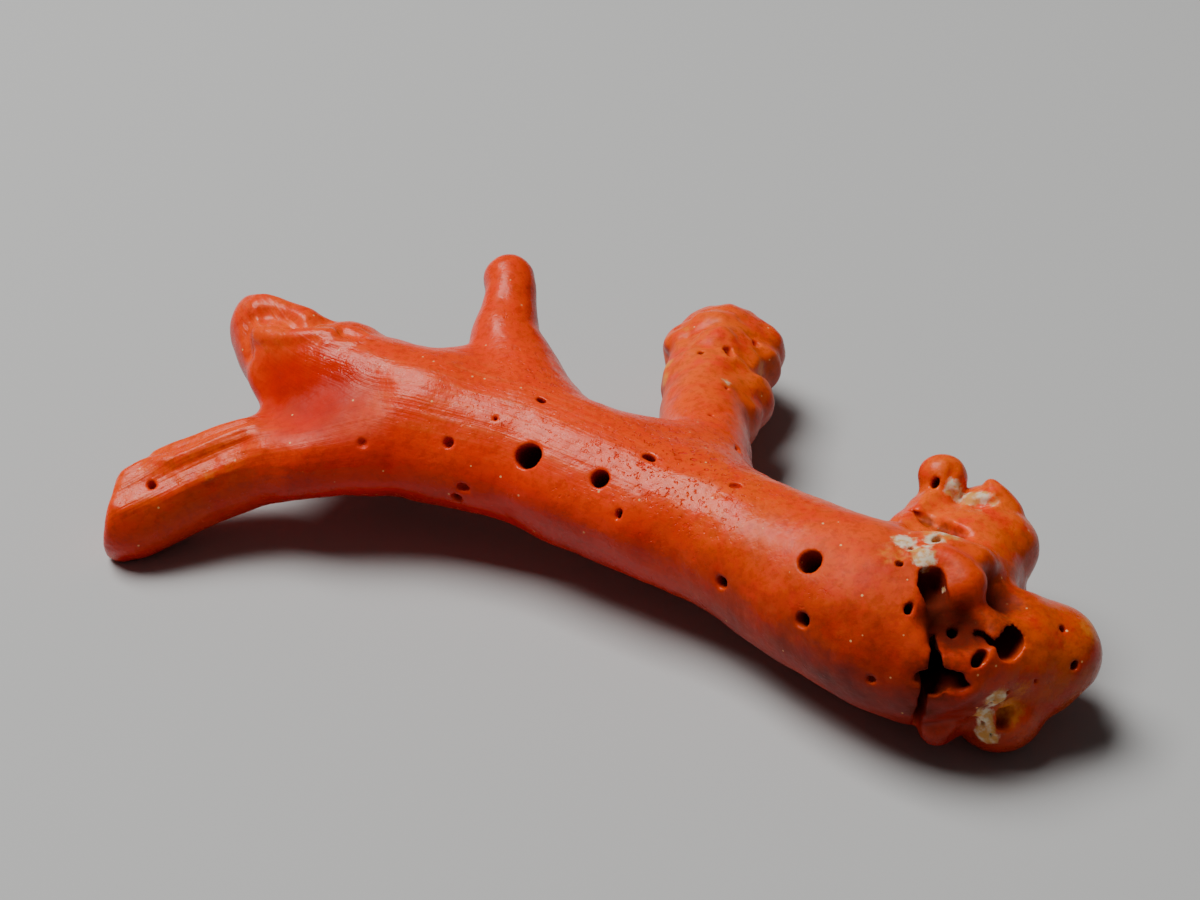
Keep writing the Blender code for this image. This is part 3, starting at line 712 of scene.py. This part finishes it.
def surface_of(values):
    """Points and four-sided faces of the surface where the values pass through zero."""
    inside = values < 0
    count = np.zeros([n - 1 for n in values.shape], np.uint8)
    corners = [(i, j, k) for i in (0, 1) for j in (0, 1) for k in (0, 1)]
    shape = count.shape
    for i, j, k in corners:
        count += inside[i : i + shape[0], j : j + shape[1], k : k + shape[2]]
    cells = np.argwhere((count > 0) & (count < 8))
    number = np.full(shape, -1, np.int32)
    number[tuple(cells.T)] = np.arange(len(cells))
    total = np.zeros((len(cells), 3))
    crossings = np.zeros(len(cells))
    for a in corners:
        for axis in range(3):
            if a[axis]:
                continue
            b = tuple(1 if n == axis else c for n, c in enumerate(a))
            at_a = values[tuple((cells + a).T)]
            at_b = values[tuple((cells + b).T)]
            met = (at_a < 0) != (at_b < 0)
            part = at_a[met] / (at_a[met] - at_b[met])
            point = np.tile(np.array(a, float), (len(part), 1))
            point[:, axis] = part
            total[met] += point
            crossings[met] += 1
    low = np.array([axis[0] for axis in axes])
    points = low + STEP * (cells + total / crossings[:, None])
    faces = []
    for axis in range(3):
        first, second = [n for n in range(3) if n != axis]
        start = [slice(1, -1)] * 3
        start[axis] = slice(0, -1)
        end = list(start)
        end[axis] = slice(1, None)
        flips = inside[tuple(start)] != inside[tuple(end)]
        edges = np.argwhere(flips)
        edges[:, first] += 1
        edges[:, second] += 1
        back = np.zeros(3, int)
        ring = []
        for u, v in ((0, 0), (1, 0), (1, 1), (0, 1)):
            back[:] = 0
            back[first] = u
            back[second] = v
            ring.append(number[tuple((edges - back).T)])
        ring = np.stack(ring, -1)
        outward = inside[tuple(edges.T)]
        if axis == 1:
            outward = ~outward
        ring[~outward] = ring[~outward][:, ::-1]
        faces.append(ring)
    return points, np.concatenate(faces)


def mesh_of(name, points, faces):
    mesh = bpy.data.meshes.new(name)
    mesh.vertices.add(len(points))
    mesh.vertices.foreach_set("co", points.astype(np.float32).ravel())
    sides = faces.shape[1]
    mesh.loops.add(faces.size)
    mesh.loops.foreach_set("vertex_index", faces.astype(np.int32).ravel())
    mesh.polygons.add(len(faces))
    mesh.polygons.foreach_set("loop_start", np.arange(0, faces.size, sides, dtype=np.int32))
    mesh.update(calc_edges=True)
    return mesh


def thinned(mesh):
    """The mesh with its flatter parts given fewer triangles."""
    obj = bpy.data.objects.new("thinning", mesh)
    bpy.context.scene.collection.objects.link(obj)
    thin = obj.modifiers.new("thin", "DECIMATE")
    thin.ratio = min(1.0, MOST_TRIANGLES / (2 * len(mesh.polygons)))
    graph = bpy.context.evaluated_depsgraph_get()
    found = bpy.data.meshes.new_from_object(obj.evaluated_get(graph))
    bpy.data.objects.remove(obj)
    return found


def drop_chips(mesh):
    """Leaves out the crumbs that hang on the mesh by no more than an edge or a point."""
    body = bmesh.new()
    body.from_mesh(mesh)
    left = set(body.faces)
    shells = []
    while left:
        front = [left.pop()]
        shell = list(front)
        while front:
            for edge in front.pop().edges:
                near = [face for face in edge.link_faces if face in left]
                if near and len(edge.link_faces) == 2:
                    left.difference_update(near)
                    front.extend(near)
                    shell.extend(near)
        shells.append(shell)
    shells.sort(key=len)
    chips = [face for shell in shells[:-1] for face in shell]
    bmesh.ops.delete(body, geom=chips, context="FACES")
    body.to_mesh(mesh)
    body.free()


def corners_of(mesh):
    points = np.zeros(len(mesh.vertices) * 3, np.float32)
    mesh.vertices.foreach_get("co", points)
    return points.reshape(-1, 3).astype(float)


before_boring = grow()
untangle(field)
points, faces = surface_of(field)
mesh = thinned(mesh_of("coral", points, faces))
drop_chips(mesh)
points = corners_of(mesh)


# ---- the markings ----

# Each list of places holds centres, radii and strengths.
# Lime crust, cream to white, on the base and in one spot on the knobby branch.
LIME_PATCHES = (
    ((13.2, -13.2, 8.9), 0.5, 1.0),
    ((13.5, -13.9, 8.9), 0.35, 0.8),
    ((13.9, -14.4, 8.7), 0.5, 0.9),
    ((14.1, -13.9, 8.7), 0.3, 0.9),
    ((14.9, -12.5, 8.4), 0.5, 0.75),
    ((15.4, -12.7, 8.4), 0.4, 0.6),
    ((14.5, -13.2, 8.7), 0.45, 0.7),
    ((15.3, -12.0, 8.2), 0.45, 0.6),
    ((16.2, -7.7, 7.4), 0.42, 1.0),
    ((16.6, -8.0, 7.3), 0.42, 0.9),
    ((16.95, -8.35, 7.4), 0.42, 1.0),
    ((17.4, -8.5, 7.5), 0.33, 1.0),
    ((17.9, -8.8, 7.5), 0.35, 0.5),
    ((17.2, -9.5, 7.4), 0.3, 0.4),
    ((14.9, -15.2, 7.6), 0.22, 0.8),
    ((17.0, -18.6, 4.15), 0.55, 1.0),
    ((16.5, -18.5, 3.2), 0.42, 1.0),
    ((16.55, -18.4, 2.6), 0.42, 0.9),
    ((16.75, -18.3, 2.0), 0.46, 1.0),
    ((19.7, -11.3, 4.9), 0.35, 0.8),
    ((6.3, 2.45, 6.3), 0.28, 0.6),
)
# Yellow patches on the knobby branch, the leg and the base.
YELLOW_PATCHES = (
    ((3.6, 5.6, 5.3), 0.45, 0.9),
    ((3.5, 4.6, 5.1), 0.4, 0.9),
    ((6.3, 2.4, 6.3), 0.5, 0.5),
    ((8.5, 6.0, 4.8), 0.5, 0.7),
    ((4.7, 8.6, 5.4), 0.5, 0.5),
    ((-17.8, -3.1, 5.4), 0.7, 0.4),
    ((-18.9, -3.3, 4.9), 0.5, 0.5),
    ((-24.0, -3.5, 0.8), 0.9, 0.6),
    ((14.9, -12.4, 8.4), 0.9, 0.8),
    ((12.6, -14.2, 8.8), 0.8, 0.5),
    ((21.2, -15.3, 5.4), 0.8, 0.6),
    ((17.6, -18.0, 3.2), 0.7, 0.7),
    ((18.0, -18.0, 4.4), 0.6, 0.5),
)
# Brown stain, with painted shade, in the recess of the base and along its groove.
STAIN_AND_SHADE_PATCHES = (
    ((14.0, -15.9, 7.2), 1.1, 0.9),
    ((14.2, -18.2, 5.4), 1.2, 0.8),
    ((15.2, -17.0, 6.8), 1.4, 0.7),
    ((17.2, -14.8, 6.4), 1.5, 0.7),
    ((17.0, -16.6, 6.5), 1.0, 0.7),
    ((14.75, -9.8, 7.0), 0.4, 0.8),
    ((15.35, -10.5, 7.1), 0.45, 0.8),
    ((15.9, -11.1, 7.3), 0.45, 0.7),
    ((13.7, -18.9, 3.5), 0.7, 0.7),
)
# Where the coral is more orange than red.
WARM_PLACES = (
    ((8.0, -9.0, 7.0), 4.0, 0.5),
    ((10.0, -14.0, 6.0), 4.0, 0.4),
    ((6.0, 6.0, 5.0), 4.5, 0.8),
    ((16.5, -9.0, 6.5), 4.0, 0.9),
    ((20.0, -15.5, 4.0), 3.0, 1.0),
    ((-20.5, -3.0, 4.5), 2.5, 0.5),
    ((-15.0, 4.0, 8.5), 2.2, 0.5),
)
# Painted shade: places towards the base and on the stump's front, darkened in patches.
DULL_SHADE_PLACES = (
    ((14.0, -18.0, 5.0), 3.4, 0.6),
    ((8.0, -13.5, 4.0), 3.5, 0.4),
    ((10.5, -16.5, 5.5), 3.0, 0.7),
    ((12.2, -14.8, 7.6), 1.8, 0.5),
    ((18.0, -14.5, 6.0), 1.6, 0.6),
    ((20.0, -15.5, 4.0), 3.0, 0.4),
    ((-15.2, 0.2, 6.8), 1.5, 0.5),
    ((-13.2, -0.8, 7.4), 1.5, 0.4),
)
# Where the skin is polished and finely pitted.
POLISHED_PLACES = (
    ((4.5, -6.0, 8.0), 3.0, 0.5),
    ((-3.0, -1.0, 8.5), 3.0, 0.25),
)
# Painted shade as a deep, even red on the stump's flat front; on the lower sides of trunk and leg this red
# takes the place of the painted shade of lower faces.
DEEP_RED_SHADE_PLACES = (
    ((-15.4, 1.5, 6.8), 1.7, 1.0),
    ((-13.6, -0.2, 7.4), 2.1, 1.0),
    ((-11.0, -3.0, 5.5), 2.2, 0.6),
    ((-5.0, -5.5, 4.5), 2.2, 0.5),
    ((2.0, -10.0, 4.2), 2.2, 0.4),
    ((-17.5, -4.0, 3.6), 1.6, 0.45),
    ((-19.8, -4.4, 2.8), 1.6, 0.45),
    ((-22.3, -5.0, 2.0), 1.6, 0.35),
)
# Where the skin has lost its shine: the fork between stump and leg and the front towards the base.
MATT_PLACES = (
    ((-15.0, -1.1, 6.7), 1.2, 1.0),
    ((-13.6, -1.3, 7.4), 1.3, 1.0),
    ((-12.0, -2.1, 7.4), 1.4, 0.8),
    ((8.5, -14.0, 5.0), 3.0, 0.4),
    ((12.5, -16.0, 6.5), 3.0, 0.8),
    ((11.0, -13.5, 8.2), 2.0, 0.6),
    ((6.0, 5.0, 5.5), 3.0, 0.4),
)


# A place is marked in full as far out as FULL, and fades from there; both are shares of its radius.
FULL = 0.6
SHARP_FADE = 1.0
SOFT_FADE = 1.2
SOFTEST_FADE = 1.5

# The growth lines: how far from a limb's skin they reach, how they fade down its sides, the turn of
# the stem into lengths, and how they come in along it.
LINE_BAND = 0.7
LINE_TOP = 1.4
LINE_SIDE = 0.5
STEM_RADIUS = 3.4
LINE_RISE = 12
LINE_START = 0.6


def patches(places, fade=SHARP_FADE):
    """How strongly each point is marked, from 0 to 1."""
    found = np.zeros(len(points))
    for centre, radius, strength in places:
        away = np.linalg.norm(points - np.array(centre), axis=1) / radius
        found = np.maximum(found, strength * np.clip((FULL + fade - away) / fade, 0, 1))
    return found


def limb_coordinates(stations):
    """Each point's angle round a limb in radians, its distance from the limb's axis, the limb's radius
    there and the way along the limb."""
    line = smooth_line(stations)
    nearest = np.full(len(points), np.inf)
    angle = np.zeros(len(points))
    radius = np.zeros(len(points))
    along = np.zeros(len(points))
    done = 0.0
    for start, end in zip(line, line[1:]):
        step = np.linalg.norm(end[:3] - start[:3])
        axis = Vector(end[:3] - start[:3]).normalized()
        right = axis.cross(Vector((0, 0, 1))).normalized()
        top = right.cross(axis)
        away = points - start[:3]
        part = np.clip(away @ np.array(axis), 0, step)
        away = away - np.outer(part, np.array(axis))
        gap = np.linalg.norm(away, axis=1)
        closer = gap < nearest
        nearest[closer] = gap[closer]
        angle[closer] = np.arctan2(away[closer] @ np.array(right), away[closer] @ np.array(top))
        radius[closer] = start[3] + (part[closer] / step) * (end[3] - start[3])
        along[closer] = done + part[closer]
        done += step
    return angle, nearest, radius, along


def store(name, values):
    layer = mesh.attributes.new(name, "FLOAT", "POINT")
    layer.data.foreach_set("value", np.asarray(values, np.float32))


store("depth", np.clip(-sample(before_boring, points), 0, None))
store("lime", patches(LIME_PATCHES))
store("yellow", patches(YELLOW_PATCHES))
store("stain_and_shade", patches(STAIN_AND_SHADE_PATCHES))
stem = tuple(reversed(LIMBS["trunk"])) + LIMBS["stump"][1:]
for name, stations in (("stem", stem), ("leg", LIMBS["leg"])):
    angle, gap, radius, along = limb_coordinates(stations)
    near = np.exp(-(((gap - radius) / LINE_BAND) ** 2))
    top = np.clip(LINE_TOP - np.abs(angle) * LINE_SIDE, 0, 1)
    rise = np.clip(along / LINE_RISE - LINE_START, 0, 1) if name == "stem" else 1
    store(name + "_along", along)
    store(name + "_around", angle * STEM_RADIUS)
    store(name + "_lines", near * top * rise)
# The way each point faces up, which paints light on upper faces and shade on lower ones.
normals = np.zeros(len(points) * 3, np.float32)
mesh.vertices.foreach_get("normal", normals)
store("up", normals.reshape(-1, 3)[:, 2])
store("warm", patches(WARM_PLACES, SOFTEST_FADE))
store("dull_shade", patches(DULL_SHADE_PLACES, SOFTEST_FADE))
store("polish", patches(POLISHED_PLACES, SOFTEST_FADE))
store("matt", patches(MATT_PLACES, SOFT_FADE))
store("deep_red_shade", patches(DEEP_RED_SHADE_PLACES, SOFT_FADE))


# ---- the piece, in the frame ----

low, high = points.min(0), points.max(0)
room_low = np.array(cad_low) + INSET * MM
room_high = np.array(cad_high) - INSET * MM
middle = (room_low + room_high) / 2
middle[2] = room_low[2] - low[2] * MM
above = (room_high - middle) / (high - GROWN_MIDDLE)
below = (room_low - middle) / (low - GROWN_MIDDLE)
scale = min(MM, *above, *below[:2])
placed = middle + (points - GROWN_MIDDLE) * scale
mesh.vertices.foreach_set("co", placed.astype(np.float32).ravel())
mesh.update()
mesh.shade_smooth()
coral = bpy.data.objects.new("red_coral", mesh)
bpy.context.scene.collection.objects.link(coral)


# ---- materials ----


class Shader:
    """A small helper that adds nodes and links them."""

    def __init__(self, name):
        self.material = bpy.data.materials.new(name)
        self.material.use_nodes = True
        self.tree = self.material.node_tree
        self.principled = self.tree.nodes["Principled BSDF"]

    def add(self, kind, inputs=(), **settings):
        node = self.tree.nodes.new(kind)
        for key, value in settings.items():
            setattr(node, key, value)
        for key, value in dict(inputs).items():
            self.put(node.inputs[key], value)
        return node

    def put(self, socket, value):
        if isinstance(value, bpy.types.NodeSocket):
            self.tree.links.new(value, socket)
        else:
            socket.default_value = value

    def math(self, operation, a, b=0.0, clamp=False):
        node = self.add("ShaderNodeMath", {0: a, 1: b}, operation=operation, use_clamp=clamp)
        return node.outputs[0]

    def mix(self, share, a, b):
        node = self.add("ShaderNodeMix", data_type="RGBA")
        self.put(node.inputs[0], share)
        self.put(node.inputs[6], a)
        self.put(node.inputs[7], b)
        return node.outputs[2]

    def product(self, *values):
        found = values[0]
        for value in values[1:]:
            found = self.math("MULTIPLY", found, value)
        return found

    def ramp(self, value, none, full):
        """0 on the far side of none, 1 on the far side of full and smooth between."""
        node = self.add("ShaderNodeMapRange", interpolation_type="SMOOTHSTEP")
        self.put(node.inputs["Value"], value)
        self.put(node.inputs["From Min"], none)
        self.put(node.inputs["From Max"], full)
        return node.outputs["Result"]

    def layer(self, name):
        return self.add("ShaderNodeAttribute", attribute_name=name).outputs["Fac"]

    def clouds(self, scale, detail, roughness, vector):
        inputs = {"Scale": scale, "Detail": detail, "Roughness": roughness, "Vector": vector}
        return self.add("ShaderNodeTexNoise", inputs).outputs["Fac"]

    def noise(self, size, detail, roughness=0.5):
        """Noise all over the piece, with features of a size in millimetres."""
        return self.clouds(1 / (size * MM), detail, roughness, self.place)


# Colours.
DEEP_RED = (0.93, 0.012, 0.001, 1)
ORANGE_RED = (0.95, 0.055, 0.001, 1)
WARM_ORANGE = (0.95, 0.13, 0.003, 1)
# Reds for painted shade: a saturated red for the deep red places, and a dark red for lower faces and dull
# places, which also gives the fine dark mottles.
SATURATED_SHADE_RED = (0.72, 0.004, 0.0002, 1)
SHADE_RED = (0.16, 0.003, 0.0003, 1)
PALE_ORANGE = (0.95, 0.15, 0.03, 1)
# Painted shade inside the holes.
HOLE_SHADE_RED = (0.16, 0.004, 0.0005, 1)
DEEP_HOLE_SHADE = (0.03, 0.001, 0.0002, 1)
WHITE_LIME = (0.8, 0.64, 0.46, 1)
BEIGE_LIME = (0.7, 0.32, 0.08, 1)
YELLOW = (0.9, 0.32, 0.03, 1)
# A brown stain that also paints shade in the recess and groove of the base.
STAIN_AND_SHADE = (0.1, 0.012, 0.002, 1)
SPECK = (0.95, 0.5, 0.2, 1)

# Sizes of the clouds, patches and marks in the skin, in millimetres.
LINE_LENGTH = 11.0
LINE_WIDTH = 0.3
CLOUD_SIZE = 4.0
WARM_SIZE = 1.8
MOTTLE_SIZE = 0.6
BLOTCH_SIZE = 1.3
FINE_SIZE = 0.35
DULL_SHADE_SIZE = 2.2
PIT_FIELD_SIZE = 1.6
PIT_SIZE = 0.24
SPECK_SPACING = 0.8
EDGE_SIZE = 0.3
CRUST_SIZE = 0.5
GRAIN_SIZE = 0.5
DENT_SIZE = 0.5
BUMP_HEIGHT = 0.05
GLOW_DEPTH = 0.5

# How strongly each shows in the colour.
CLOUD_SHARE = 0.8
LINE_SHARE = 0.45
FINE_SHARE = 0.22
DEEP_RED_SHADE_SHARE = 0.85
SHADE_SHARE = 0.5
DULL_SHADE_SHARE = 0.5
PIT_SHARE = 0.9
SPECK_SHARE = 0.9
HOLE_SHADE_SHARE = 0.85
STAIN_AND_SHADE_SHARE = 0.75
YELLOW_SHARE = 0.7

# Roughness: of the skin, and what each place adds to it or takes from it.
SKIN_ROUGHNESS = 0.13
GRAIN_ROUGHNESS = 0.3
WORN_ROUGHNESS = 0.45
MATT_ROUGHNESS = 0.5
POLISH_SMOOTHNESS = 0.1
DEEP_SMOOTHNESS = 0.12

# Bump: heights of the growth lines, the dents and the pits.
LINE_HEIGHT = 0.8
DENT_HEIGHT = 0.25
PIT_HEIGHT = -1.4

s = Shader("red_coral")
s.place = s.add("ShaderNodeTexCoord").outputs["Object"]


def growth_lines(name):
    """Fine lines drawn out along a limb."""
    along = s.product(s.layer(name + "_along"), 1 / LINE_LENGTH)
    around = s.product(s.layer(name + "_around"), 1 / LINE_WIDTH)
    where = s.add("ShaderNodeCombineXYZ", {0: along, 1: around}).outputs[0]
    return s.product(s.clouds(1.0, 3.0, 0.55, where), s.layer(name + "_lines"))


lines = s.math("ADD", growth_lines("stem"), growth_lines("leg"))

# Red with painted light and shade: more orange where the skin faces up, a deeper red and painted shade where
# it faces down; with orange places, pale mottles and lines, darker blotches, and painted shade in the dull
# places and deep red places.
cloud = s.product(s.noise(CLOUD_SIZE, 3), CLOUD_SHARE)
# Painted light: the colour turns from deep red to orange red as the skin faces up.
lit = s.ramp(s.math("ADD", s.layer("up"), cloud), 0.1, 1.2)
colour = s.mix(lit, DEEP_RED, ORANGE_RED)
warm = s.product(s.layer("warm"), s.ramp(s.noise(WARM_SIZE, 4, 0.6), 0.2, 0.55))
colour = s.mix(warm, colour, WARM_ORANGE)
mottle = s.ramp(s.noise(MOTTLE_SIZE, 4, 0.6), 0.45, 0.8)
mottle_share = s.math("ADD", s.product(s.layer("warm"), 0.3), 0.1)
colour = s.mix(s.product(mottle, mottle_share), colour, PALE_ORANGE)
colour = s.mix(s.product(s.ramp(lines, 0.42, 0.7), LINE_SHARE), colour, PALE_ORANGE)
blotch = s.ramp(s.noise(BLOTCH_SIZE, 4, 0.65), 0.55, 0.35)
blotch_share = s.math("ADD", 0.3, s.product(s.layer("warm"), 0.4))
colour = s.mix(s.product(blotch, blotch_share), colour, DEEP_RED)
fine = s.ramp(s.noise(FINE_SIZE, 3, 0.6), 0.55, 0.35)
colour = s.mix(s.product(fine, FINE_SHARE), colour, SHADE_RED)
# Painted shade: a deep, even red in the deep red places.
colour = s.mix(s.product(s.layer("deep_red_shade"), DEEP_RED_SHADE_SHARE), colour, SATURATED_SHADE_RED)
# Painted shade on faces that turn down, left out in the deep red places.
shade = s.product(s.math("SUBTRACT", 1.0, lit), SHADE_SHARE, s.math("SUBTRACT", 1.0, s.layer("deep_red_shade")))
# Painted shade in the dull places, in patches.
dull_shade = s.product(s.layer("dull_shade"), s.math("ADD", s.ramp(s.noise(DULL_SHADE_SIZE, 4, 0.6), 0.3, 0.7), 0.6))
darker = s.math("ADD", shade, s.product(dull_shade, DULL_SHADE_SHARE), clamp=True)
colour = s.mix(darker, colour, SHADE_RED)

# Pin-pricks where the skin is polished, and pale specks.
pit_field = s.ramp(s.math("ADD", s.noise(PIT_FIELD_SIZE, 3, 0.6), s.layer("polish")), 0.5, 1.2)
pits = s.product(s.ramp(s.noise(PIT_SIZE, 2, 0.55), 0.42, 0.32), pit_field)
colour = s.mix(s.product(pits, PIT_SHARE), colour, DEEP_RED)
cells = s.add("ShaderNodeTexVoronoi", {"Scale": 1 / (SPECK_SPACING * MM)}, feature="F1")
s.put(cells.inputs["Vector"], s.place)
kept = s.ramp(s.add("ShaderNodeSeparateColor", {0: cells.outputs["Color"]}).outputs[0], 0.5, 0.52)
speck = s.product(s.ramp(cells.outputs["Distance"], 0.09, 0.05), kept)
colour = s.mix(s.product(speck, SPECK_SHARE), colour, SPECK)

# Painted shade: holes darken with their depth. Stain with painted shade, yellow patches and lime crust have
# ragged edges.
colour = s.mix(s.ramp(s.layer("depth"), 0.08, 0.8), colour, HOLE_SHADE_RED)
colour = s.mix(s.product(s.ramp(s.layer("depth"), 0.8, 2.2), HOLE_SHADE_SHARE), colour, DEEP_HOLE_SHADE)
edge = s.math("SUBTRACT", s.noise(EDGE_SIZE, 4, 0.65), 0.5)
stain_and_shade = s.ramp(s.math("ADD", s.layer("stain_and_shade"), edge), 0.2, 1.0)
colour = s.mix(s.product(stain_and_shade, STAIN_AND_SHADE_SHARE), colour, STAIN_AND_SHADE)
yellow = s.ramp(s.math("ADD", s.layer("yellow"), edge), 0.3, 0.9)
colour = s.mix(s.product(yellow, YELLOW_SHARE), colour, YELLOW)
lime = s.ramp(s.math("ADD", s.layer("lime"), s.product(edge, 1.4)), 0.25, 0.75)
crust = s.mix(s.ramp(s.noise(CRUST_SIZE, 4, 0.6), 0.4, 0.6), BEIGE_LIME, WHITE_LIME)
colour = s.mix(lime, colour, crust)
s.put(s.principled.inputs["Base Color"], colour)

grain = s.product(s.noise(GRAIN_SIZE, 4, 0.6), GRAIN_ROUGHNESS)
worn = s.math("MAXIMUM", lime, s.math("MAXIMUM", stain_and_shade, s.ramp(s.layer("depth"), 0.1, 0.5)))
rough = s.math("ADD", s.math("ADD", SKIN_ROUGHNESS, grain), s.product(worn, WORN_ROUGHNESS))
rough = s.math("ADD", rough, s.product(s.layer("matt"), MATT_ROUGHNESS))
rough = s.math("SUBTRACT", rough, s.product(s.layer("polish"), POLISH_SMOOTHNESS))
rough = s.math("SUBTRACT", rough, s.product(s.layer("deep_red_shade"), DEEP_SMOOTHNESS))
s.put(s.principled.inputs["Roughness"], rough)
s.put(s.principled.inputs["Specular IOR Level"], 0.3)
s.put(s.principled.inputs["Specular Tint"], (1.0, 0.7, 0.6, 1))
s.put(s.principled.inputs["Subsurface Weight"], 0.25)
s.put(s.principled.inputs["Subsurface Scale"], GLOW_DEPTH * MM)

dents = s.product(s.ramp(s.noise(DENT_SIZE, 3, 0.6), 0.25, 0.7), DENT_HEIGHT)
height = s.math("ADD", s.math("ADD", s.product(lines, LINE_HEIGHT), dents), s.product(pits, PIT_HEIGHT))
bump = s.add("ShaderNodeBump", {"Height": height, "Distance": BUMP_HEIGHT * MM, "Strength": 1.0})
s.put(s.principled.inputs["Normal"], bump.outputs[0])
mesh.materials.append(s.material)

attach(coral, "root")
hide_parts(*NODES)


# ---- floor, light and camera ----

# In metres.
FLOOR_HALF = 2.5
WINDOW_PLACE = (-0.2, 0.1, 0.46)
WINDOW_SIZE = 0.28
WINDOW_POWER = 3.3
STUDIO_BRIGHTNESS = 0.05
AIM = Vector((0.00132, 0.00307, 0.004))
ELEVATION = math.radians(36)
DISTANCE = 0.1

floor_mesh = bpy.data.meshes.new("floor")
floor_corners = [(FLOOR_HALF * x, FLOOR_HALF * y, 0) for x, y in ((-1, -1), (1, -1), (1, 1), (-1, 1))]
floor_mesh.from_pydata(floor_corners, [], [(0, 1, 2, 3)])
floor = bpy.data.objects.new("floor", floor_mesh)
bpy.context.scene.collection.objects.link(floor)
paper = Shader("floor")
paper.put(paper.principled.inputs["Base Color"], (0.52, 0.52, 0.51, 1))
paper.put(paper.principled.inputs["Roughness"], 0.8)
floor_mesh.materials.append(paper.material)


def point_at(obj, place, target):
    obj.location = place
    obj.rotation_mode = "QUATERNION"
    obj.rotation_quaternion = (Vector(target) - Vector(place)).to_track_quat("-Z", "Y")


light = bpy.data.lights.new("window", "AREA")
light.size = WINDOW_SIZE
light.energy = WINDOW_POWER
light_object = bpy.data.objects.new("window", light)
bpy.context.scene.collection.objects.link(light_object)
point_at(light_object, WINDOW_PLACE, (0, 0, 0))

world = bpy.data.worlds.new("studio")
bpy.context.scene.world = world
world.use_nodes = True
sky = world.node_tree.nodes["Background"]
sky.inputs["Color"].default_value = (1, 1, 1, 1)
sky.inputs["Strength"].default_value = STUDIO_BRIGHTNESS

camera = bpy.data.cameras.new("camera")
camera.lens = 60
camera.sensor_width = 36
camera.clip_start = 0.001
camera_object = bpy.data.objects.new("camera", camera)
bpy.context.scene.collection.objects.link(camera_object)
back = Vector((0, -math.cos(ELEVATION), math.sin(ELEVATION)))
point_at(camera_object, AIM + back * DISTANCE, AIM)
bpy.context.scene.camera = camera_object
